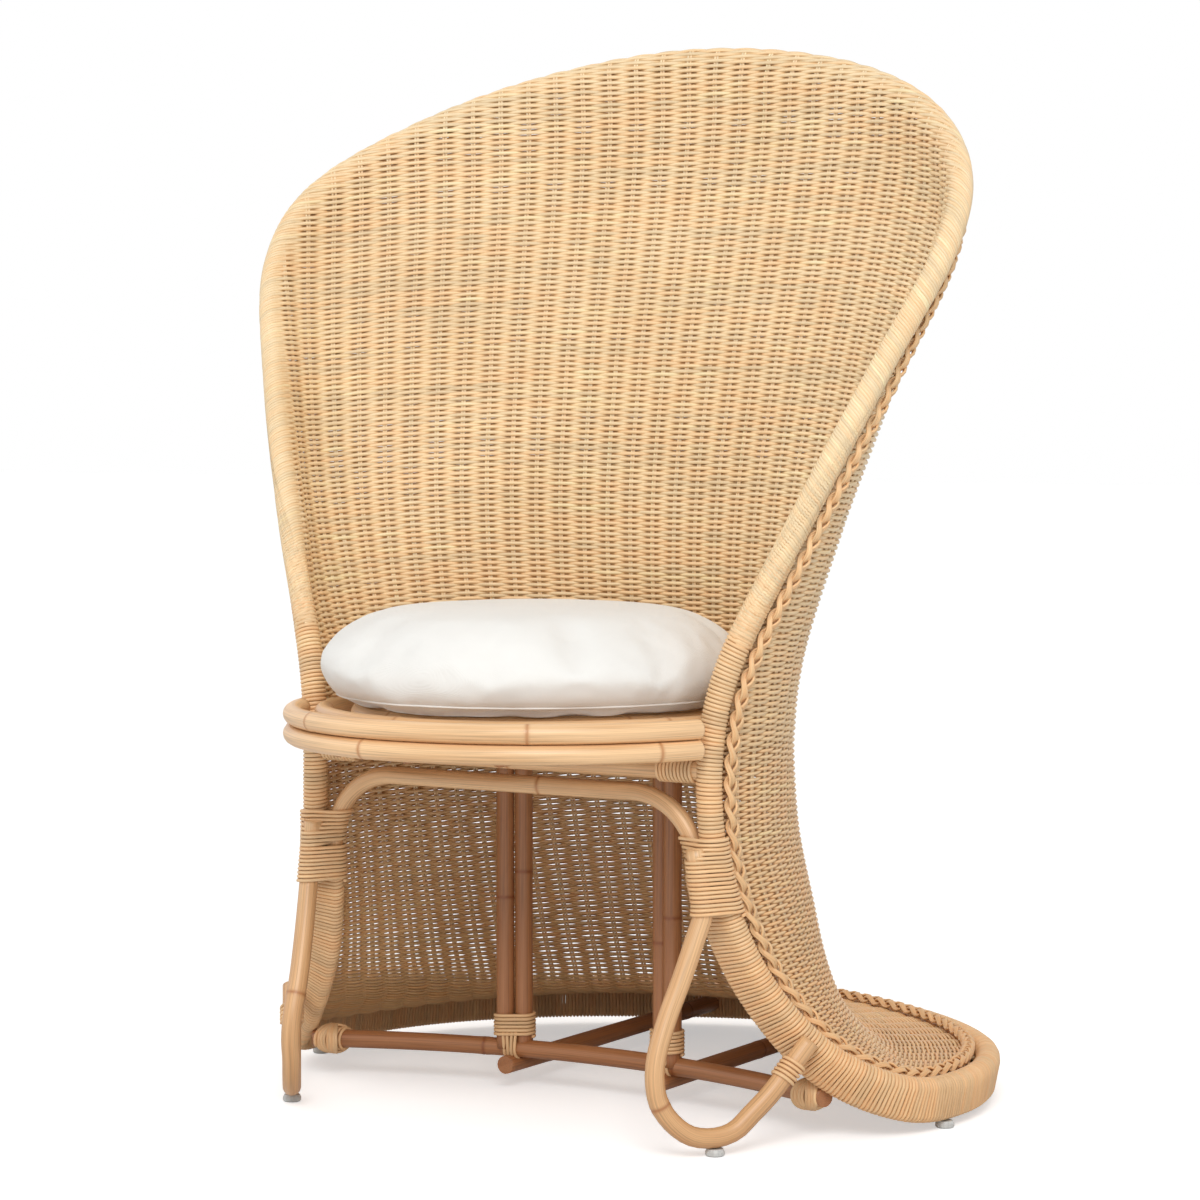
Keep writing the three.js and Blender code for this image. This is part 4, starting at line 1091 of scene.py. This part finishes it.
class CHAIR_OT_rim(bpy.types.Operator):
    """Binds the rim and the lower pole with cane"""

    bl_idname = "chair.rim"
    bl_label = "Bound rim"

    def execute(self, context):
        sizes = context.scene.chair_weave
        cane = finish("lashing_cane")
        strand = sizes.binding_pitch / 2
        for name, low, high, node in (
            ("rim_binding_back", JOINT_PLACE, ROLL_FROM[0] + 0.5, "rim_pole_back"),
            ("rim_binding_tail", 0.0, JOINT_PLACE, "rim_pole_tail"),
        ):
            right = rim_winding(low, high, sizes.binding_pitch, strand)
            dress(tube(name, [right, right * MIRROR], strand), "rattan_pole", cane, node)
        core = both_sides(rim_at(np.linspace(0, LAST, 500)))[:-1]
        obj = tube("rim_core", [core], CORE_RADIUS, 4, closed=True)
        dress(obj, "rattan_pole", finish("rattan_pole"), "rim_pole_back", "rim_pole_tail")
        lower = both_sides(lower_pole_at(np.linspace(JOINT_PLACE, 0, 220)))
        obj = tube("tail_lower_core", [lower], LOWER_RADIUS - 1.2 * strand, 4, caps=True)
        dress(obj, "rattan_pole", finish("rattan_pole"), "tail_lower_pole")
        return {"FINISHED"}


class CHAIR_OT_braid(bpy.types.Operator):
    """Plaits the border along the rim"""

    bl_idname = "chair.braid"
    bl_label = "Braid"

    def execute(self, context):
        obj = tube("braid", braid_lines(context.scene.chair_weave.braid_period), 0.0014, closed=True)
        dress(obj, "braided_cane", finish("braided_cane"), "braid_border")
        return {"FINISHED"}


class CHAIR_OT_seat(bpy.types.Operator):
    """Bends the bows, the hoop, the bearers, the deck rings and the rails of the seat"""

    bl_idname = "chair.seat"
    bl_label = "Seat frame"

    def execute(self, context):
        set_pole("front_bow_lower", "rattan_pole", bow_line(SEAT_HEIGHT), BOW_RADIUS, 3)
        set_pole("front_bow_upper", "rattan_pole", bow_line(UPPER_BOW), BOW_RADIUS, 4)
        set_pole("rear_hoop", "dark_rattan", hoop_line(), BOW_RADIUS, 7)
        for k, name in enumerate(("left", "middle", "right")):
            x = (k - 1) * POST_SPACING
            front = setback_at(bow_line(0), x) + BEARER_INSET[0]
            rear = setback_at(hoop_line(), x) - BEARER_INSET[1]
            line = np.array([(x, front, BEARER_HEIGHT), (x, rear, BEARER_HEIGHT)])
            set_pole("seat_bearer_" + name, "dark_rattan", line, BEARER_RADIUS, 11 + k)
        for k in range(1, 6):
            low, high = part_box(f"deck_ring_{k}")
            radius = high.x - POLE_RADIUS / math.cos(math.pi / 6)
            angle = np.linspace(0, 2 * np.pi, 120, endpoint=False)
            y = (low.y + high.y) / 2 - SHIFT + radius * np.sin(angle)
            line = np.stack([radius * np.cos(angle), y, 0 * angle + UPPER_BOW], -1)
            set_pole(f"deck_ring_{k}", "rattan_pole", line, POLE_RADIUS, 20 + k, "_cane", closed=True)
        for name, y in (("front", RAIL_RIM[1]), ("rear", stretcher_y(POST_SPACING))):
            line = np.array([(corner.x, y, RAIL_HEIGHT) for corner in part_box("cross_rail_" + name)])
            set_pole("cross_rail_" + name, "rattan_pole", line, POLE_RADIUS, 31)
        return {"FINISHED"}


class CHAIR_OT_legs(bpy.types.Operator):
    """Bends the arch and the hairpin legs"""

    bl_idname = "chair.legs"
    bl_label = "Legs"

    def execute(self, context):
        set_pole("front_arch", "rattan_pole", arch_line(), ARCH_RADIUS, 41)
        for name, sign in SIDES:
            set_pole("leg_loop_" + name, "rattan_pole", loop_line(sign), LEG_RADIUS, 43 + sign)
        return {"FINISHED"}


class CHAIR_OT_floor_frame(bpy.types.Operator):
    """Sets the stretcher, the posts and the runners"""

    bl_idname = "chair.floor_frame"
    bl_label = "Floor frame"

    def execute(self, context):
        set_pole("floor_stretcher", "dark_rattan", stretcher_line(), POLE_RADIUS, 51)
        for name, sign in SIDES:
            for which, shift in (("inner", -0.5), ("outer", 0.5)):
                x, y = post_place(sign, shift)
                line = np.array([(x, y, STRETCHER_HEIGHT), (x, y, RAIL_HEIGHT)])
                seed = round(55 + sign + shift * 4)
                set_pole(f"post_{name}_{which}", "dark_rattan", line, POLE_RADIUS, seed)
            low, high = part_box("tail_runner_" + name)
            height = (low.z + high.z) / 2
            line = np.array([(sign * POST_SPACING, y - SHIFT, height) for y in (low.y, high.y)])
            set_pole("tail_runner_" + name, "dark_rattan", line, POLE_RADIUS, 63 + sign)
        return {"FINISHED"}


WIDE_CANE = 0.0019
NARROW_CANE = 0.0018
CANE_LIFT = 0.0015
TIE_LIFT = 0.0016
JOINT_MARGIN = 0.002
JOINT_PITCH = 0.0043
RAIL_WRAP = 0.043
RAIL_PITCH = 0.0042
POST_LASH_RISE = 0.0135
POST_LASH = 0.0255
POST_PITCH = 0.0041
TIES = (-0.0062, -0.0021, 0.0021, 0.0062)
TIE_RISE = 0.0155
TIE_RADIUS = 0.0098
HEEL_LASH_HALF = 0.011
HEEL_PITCH = 0.0046
STRETCHER_LASH_HALF = 0.014
CROSSINGS = (-0.9, -0.6, 0.6, 0.9)
CROSSING_SPREAD = 0.011
CROSSING_RADIUS = 0.0142


class CHAIR_OT_lashings(bpy.types.Operator):
    """Winds the cane round the joints"""

    bl_idname = "chair.lashings"
    bl_label = "Lashings"

    def execute(self, context):
        for name, sign in SIDES:
            for part, lines, strand in (
                ("joint_wrap_", self.joint(sign), WIDE_CANE),
                ("rail_wrap_", self.rail(sign), NARROW_CANE),
                ("post_lash_", self.posts(sign), WIDE_CANE),
                ("heel_lash_", self.heel(sign), WIDE_CANE),
                ("stretcher_lash_", self.stretcher(sign), WIDE_CANE),
            ):
                obj = tube(part + name + "_cane", lines, strand, caps=True)
                dress(obj, "lashing_cane", finish("lashing_cane"), part + name)
        return {"FINISHED"}

    def joint(self, sign):
        flip = (sign, 1, 1)
        rim = rim_at(np.linspace(4.8, 8, 400)) * flip
        lower = lower_pole_at(np.linspace(4.8, JOINT_PLACE, 200)) * flip
        arch = arch_line()[:20] * flip
        leg = loop_line(sign)[:40]
        middle = sum(JOINT) / 2

        def circles(height):
            outer = at_height(rim, height, RIM_RADIUS)
            if height > middle + ARCH_STEP:
                inner = at_height(arch, height, ARCH_RADIUS)
            else:
                inner = at_height(lower, height, LOWER_RADIUS)
            fade = max(0.0, height - WRAP_FADE) / (JOINT[1] - WRAP_FADE)
            beside, size = at_height(leg, min(height, LEG_HELD), LEG_RADIUS)
            found = (outer, inner, (beside + (outer[0] - beside) * fade, size))
            return [(c * (1 - Z_AXIS) + Z_AXIS * height, r) for c, r in found]

        start, end = JOINT[0] + JOINT_MARGIN, JOINT[1] - JOINT_MARGIN
        return [coil(circles, X_AXIS, Y_AXIS, start, end, JOINT_PITCH, CANE_LIFT)]

    def rail(self, sign):
        end = RAIL_RIM[0] - RIM_RADIUS
        centre = np.array((0, RAIL_RIM[1], RAIL_HEIGHT))

        def circles(x):
            return [(centre + sign * x * X_AXIS, POLE_RADIUS)]

        return [coil(circles, Y_AXIS, Z_AXIS, end - RAIL_WRAP, end, RAIL_PITCH, CANE_LIFT)]

    def posts(self, sign):
        places = [post_place(sign, shift) for shift in (-0.5, 0.5)]

        def circles(z):
            return [(np.array((x, y, z)), POLE_RADIUS) for x, y in places]

        foot = STRETCHER_HEIGHT + POST_LASH_RISE
        lash = coil(circles, X_AXIS, Y_AXIS, foot, foot + POST_LASH, POST_PITCH, TIE_LIFT)
        return [lash, *self.ties(sign)]

    def ties(self, sign):
        """Turns under the stretcher and up in front of and behind the posts."""
        lines = []
        for shift in TIES:
            x = sign * POST_SPACING + shift
            centre = np.array((x, stretcher_y(x), STRETCHER_HEIGHT))
            post_y = post_place(sign, shift / PAIR_SPACING * sign)[1]
            above = np.array((x, post_y, STRETCHER_HEIGHT + TIE_RISE))

            def circles(t):
                return [(centre + t * X_AXIS, POLE_RADIUS), (above + t * X_AXIS, TIE_RADIUS)]

            lines.append(coil(circles, Y_AXIS, Z_AXIS, -0.0004, 0.0004, 0.0008, TIE_LIFT))
        return lines

    def heel(self, sign):
        line = loop_line(sign)
        axis = unit(line[-1] - line[-12])
        first = unit(np.cross(Z_AXIS, axis))
        middle = line[-1] - axis * HEEL_LASH

        def circles(t):
            return [(middle + axis * t, LEG_RADIUS)]

        second = np.cross(axis, first)
        return [coil(circles, first, second, -HEEL_LASH_HALF, HEEL_LASH_HALF, HEEL_PITCH, CANE_LIFT)]

    def stretcher(self, sign):
        def circles(t):
            x = sign * (STRETCHER_LASH + t)
            return [(np.array((x, stretcher_y(x), STRETCHER_HEIGHT)), POLE_RADIUS)]

        half = STRETCHER_LASH_HALF
        lines = [coil(circles, Y_AXIS, Z_AXIS, -half, half, RAIL_PITCH, CANE_LIFT)]
        centre, angle = circles(0)[0][0], np.linspace(0, 2 * np.pi, 33)
        round_it = Y_AXIS * np.cos(angle)[:, None] + Z_AXIS * np.sin(angle)[:, None]
        for lean in CROSSINGS:
            for side in (-0.004, 0, 0.004):
                aside = sign * X_AXIS * (side + CROSSING_SPREAD * lean * np.cos(angle))[:, None]
                lines.append(centre + aside + round_it * (CROSSING_RADIUS + abs(lean) * 0.0012))
        return lines


class CHAIR_OT_glides(bpy.types.Operator):
    """Gives the glides their finish"""

    bl_idname = "chair.glides"
    bl_label = "Glides"

    def execute(self, context):
        for name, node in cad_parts.items():
            if name.startswith("glide"):
                node.data.materials.clear()
                node.data.materials.append(finish("glide_plastic"))
        return {"FINISHED"}


SEAM_SHARE = 0.105
SEAM_RADIUS = 0.0012
SEAM_LIFT = 0.0002
CLOTH_VOXEL = 0.006
CLOTH_STEPS = 20
CROWN_SHARE = 0.99
CUSHION_SHARES = (
    (0, 0), (0.82, 0), (0.93, 0.035), (0.962, 0.13), (0.985, 0.2), (1, 0.33), (0.99, 0.5),
    (0.955, 0.66), (0.89, 0.78), (0.78, 0.88), (0.6, 0.95), (0.35, 0.99), (0, 1),
)


class CHAIR_OT_cushion(bpy.types.Operator):
    """Sews and fills the round cushion"""

    bl_idname = "chair.cushion"
    bl_label = "Cushion"

    def execute(self, context):
        low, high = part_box("cushion")
        centre = (low + high) / 2
        radius, height = (high.x - low.x) / 2, high.z - low.z
        obj = self.cut(radius, height, context.scene.chair_cushion.start)
        self.fill(context, obj)
        bm = bmesh.new()
        bm.from_mesh(obj.data)
        top = max(v.co.z for v in bm.verts)
        wide = max(math.hypot(v.co.x, v.co.y) for v in bm.verts)
        for _ in range(5):
            bmesh.ops.smooth_vert(
                bm, verts=bm.verts, factor=0.5, use_axis_x=True, use_axis_y=True, use_axis_z=True
            )
        bmesh.ops.scale(bm, vec=(radius / wide, radius / wide, height / top * CROWN_SHARE), verts=bm.verts)
        bmesh.ops.translate(bm, vec=(centre.x, centre.y, low.z), verts=bm.verts)
        for face in bm.faces:
            face.smooth = True
        bm.to_mesh(obj.data)
        bm.free()
        smooth = obj.modifiers.new("smooth", "SUBSURF")
        smooth.levels = smooth.render_levels = 1
        dress(obj, "cushion_cotton", finish("cushion_cotton"), "cushion", body="cushion")
        self.piping(context, obj, centre, low.z + SEAM_SHARE * height)
        return {"FINISHED"}

    def cut(self, radius, height, share):
        bm = bmesh.new()
        line = [bm.verts.new((a * radius * share, 0, b * height * share)) for a, b in CUSHION_SHARES]
        edges = [bm.edges.new(pair) for pair in zip(line, line[1:])]
        bmesh.ops.spin(
            bm, geom=line + edges, cent=(0, 0, 0), axis=(0, 0, 1), angle=2 * math.pi, steps=72, use_merge=True
        )
        bmesh.ops.remove_doubles(bm, verts=bm.verts, dist=1e-5)
        bmesh.ops.recalc_face_normals(bm, faces=bm.faces)
        mesh = bpy.data.meshes.new("cushion_cloth")
        bm.to_mesh(mesh)
        bm.free()
        obj = bpy.data.objects.new("cushion_cloth", mesh)
        bpy.context.scene.collection.objects.link(obj)
        return obj

    def fill(self, context, obj):
        """Blows the cloth up, with a cap on how far it moves."""
        context.view_layer.objects.active = obj
        remesh = obj.modifiers.new("remesh", "REMESH")
        remesh.mode = "VOXEL"
        remesh.voxel_size = CLOTH_VOXEL
        bpy.ops.object.modifier_apply(modifier="remesh")
        before = np.empty(len(obj.data.vertices) * 3, np.float32)
        obj.data.vertices.foreach_get("co", before)
        cloth = obj.modifiers.new("cloth", "CLOTH")
        cloth.settings.use_pressure = True
        cloth.settings.uniform_pressure_force = context.scene.chair_cushion.pressure
        cloth.settings.effector_weights.gravity = 0
        for step in range(CLOTH_STEPS):
            context.scene.frame_set(step + 1)
        bpy.ops.object.modifier_apply(modifier="cloth")
        context.scene.frame_set(1)
        after = np.empty_like(before)
        obj.data.vertices.foreach_get("co", after)
        move = (after - before).reshape(-1, 3)
        length = np.linalg.norm(move, axis=1, keepdims=True)
        most = context.scene.chair_cushion.most_move
        move *= np.minimum(1, most / np.maximum(length, 1e-9))
        moved = before.reshape(-1, 3) + move
        moved[:, 2] = np.maximum(moved[:, 2], 0)
        obj.data.vertices.foreach_set("co", moved.ravel())
        obj.data.update()

    def piping(self, context, cloth, centre, height):
        """The sewn seam low on the side, laid on the filled cloth."""
        context.view_layer.update()
        line = []
        for angle in np.linspace(0, 2 * np.pi, 160, endpoint=False):
            out = np.array((math.cos(angle), math.sin(angle), 0))
            start = (centre.x + 0.5 * out[0], centre.y + 0.5 * out[1], height)
            met, place, _, _ = cloth.ray_cast(start, -out)
            if met:
                line.append(np.array(place) + SEAM_LIFT * out - (0, SHIFT, 0))
        obj = tube("cushion_seam", [np.array(line)], SEAM_RADIUS, 2, closed=True)
        dress(obj, "cushion_cotton", finish("cushion_cotton"), body="cushion")


CAMERA_PLACE = (1.9126, -3.1818, 0.741)
CAMERA_TURN = (math.radians(90 - 3.13), 0, math.radians(31.3))
CAMERA_LENS = 102.0
KEY_PLACE = (1.8, -3.05, 3.0)
KEY_SIZE = 2.2
FILL_PLACE = (-2.9, -1.2, 1.9)
FILL_SIZE = 2.4
LIT_PLACE = Vector((0, 0, 0.55))
FLOOR_GLOW = (0.46, 0.46, 0.46, 1)


class CHAIR_OT_stage(bpy.types.Operator):
    """Lays the floor and sets the lights and the camera"""

    bl_idname = "chair.stage"
    bl_label = "Stage"

    def execute(self, context):
        self.floor(context)
        self.sky(context)
        lights = context.scene.chair_stage
        self.light("key", KEY_PLACE, KEY_SIZE, lights.key)
        self.light("fill", FILL_PLACE, FILL_SIZE, lights.fill)
        camera = bpy.data.cameras.new("camera")
        camera.lens, camera.sensor_width = CAMERA_LENS, 36
        camera.clip_end = 60
        obj = bpy.data.objects.new("camera", camera)
        obj.location = CAMERA_PLACE
        obj.rotation_euler = CAMERA_TURN
        context.scene.collection.objects.link(obj)
        context.scene.camera = obj
        context.scene.view_settings.view_transform = "Standard"
        return {"FINISHED"}

    def floor(self, context):
        bm = bmesh.new()
        bmesh.ops.create_grid(bm, x_segments=1, y_segments=1, size=30)
        mesh = bpy.data.meshes.new("floor")
        bm.to_mesh(mesh)
        bm.free()
        obj = bpy.data.objects.new("floor", mesh)
        context.scene.collection.objects.link(obj)
        material, tree, shader = nodes_of("floor")
        shader.inputs["Base Color"].default_value = (*context.scene.chair_colours.floor, 1)
        shader.inputs["Roughness"].default_value = 0.9
        output = next(n for n in tree.nodes if n.type == "OUTPUT_MATERIAL")
        glow = tree.nodes.new("ShaderNodeEmission")
        rays = tree.nodes.new("ShaderNodeLightPath")
        tree.links.new(rays.outputs["Is Camera Ray"], glow.inputs["Strength"])
        glow.inputs["Color"].default_value = FLOOR_GLOW
        both = tree.nodes.new("ShaderNodeAddShader")
        tree.links.new(shader.outputs[0], both.inputs[0])
        tree.links.new(glow.outputs[0], both.inputs[1])
        tree.links.new(both.outputs[0], output.inputs[0])
        mesh.materials.append(material)

    def sky(self, context):
        world = bpy.data.worlds.new("sky")
        context.scene.world = world
        world.use_nodes = True
        tree = world.node_tree
        tree.nodes.clear()
        plain = tree.nodes.new("ShaderNodeBackground")
        plain.inputs["Strength"].default_value = context.scene.chair_stage.sky
        white = tree.nodes.new("ShaderNodeBackground")
        for node in (plain, white):
            node.inputs["Color"].default_value = (1, 1, 1, 1)
        rays = tree.nodes.new("ShaderNodeLightPath")
        seen = reckoned(tree, "MAXIMUM", rays.outputs["Is Camera Ray"], rays.outputs["Is Glossy Ray"])
        mix = tree.nodes.new("ShaderNodeMixShader")
        for socket, source in zip(mix.inputs, (seen, plain.outputs[0], white.outputs[0])):
            tree.links.new(source, socket)
        output = tree.nodes.new("ShaderNodeOutputWorld")
        tree.links.new(mix.outputs[0], output.inputs[0])

    def light(self, name, place, size, power):
        lamp = bpy.data.lights.new(name, "AREA")
        lamp.shape = "DISK"
        lamp.size = size
        lamp.energy = power
        obj = bpy.data.objects.new(name, lamp)
        obj.location = place
        obj.rotation_euler = (LIT_PLACE - Vector(place)).to_track_quat("-Z", "Y").to_euler()
        bpy.context.scene.collection.objects.link(obj)


OPERATORS = (
    CHAIR_OT_back_weave,
    CHAIR_OT_skirt_weave,
    CHAIR_OT_rim,
    CHAIR_OT_braid,
    CHAIR_OT_seat,
    CHAIR_OT_legs,
    CHAIR_OT_floor_frame,
    CHAIR_OT_lashings,
    CHAIR_OT_glides,
    CHAIR_OT_cushion,
    CHAIR_OT_stage,
)
SETTINGS = {
    "chair_weave": ChairWeave,
    "chair_cushion": ChairCushion,
    "chair_colours": ChairColours,
    "chair_stage": ChairStage,
}


class CHAIR_PT_panel(bpy.types.Panel):
    """The chair's pieces"""

    bl_idname = "CHAIR_PT_panel"
    bl_label = "Peacock chair"
    bl_space_type = "VIEW_3D"
    bl_region_type = "UI"
    bl_category = "Peacock chair"

    def draw(self, context):
        for operator in OPERATORS:
            self.layout.operator(operator.bl_idname)


def register():
    for kind in (*SETTINGS.values(), *OPERATORS, CHAIR_PT_panel):
        bpy.utils.register_class(kind)
    for name, kind in SETTINGS.items():
        setattr(bpy.types.Scene, name, bpy.props.PointerProperty(type=kind))


def unregister():
    for name in SETTINGS:
        delattr(bpy.types.Scene, name)
    for kind in (CHAIR_PT_panel, *OPERATORS[::-1], *SETTINGS.values()):
        bpy.utils.unregister_class(kind)


def main():
    register()
    for operator in OPERATORS:
        group, name = operator.bl_idname.split(".")
        getattr(getattr(bpy.ops, group), name)()


if __name__ == "__main__":
    main()
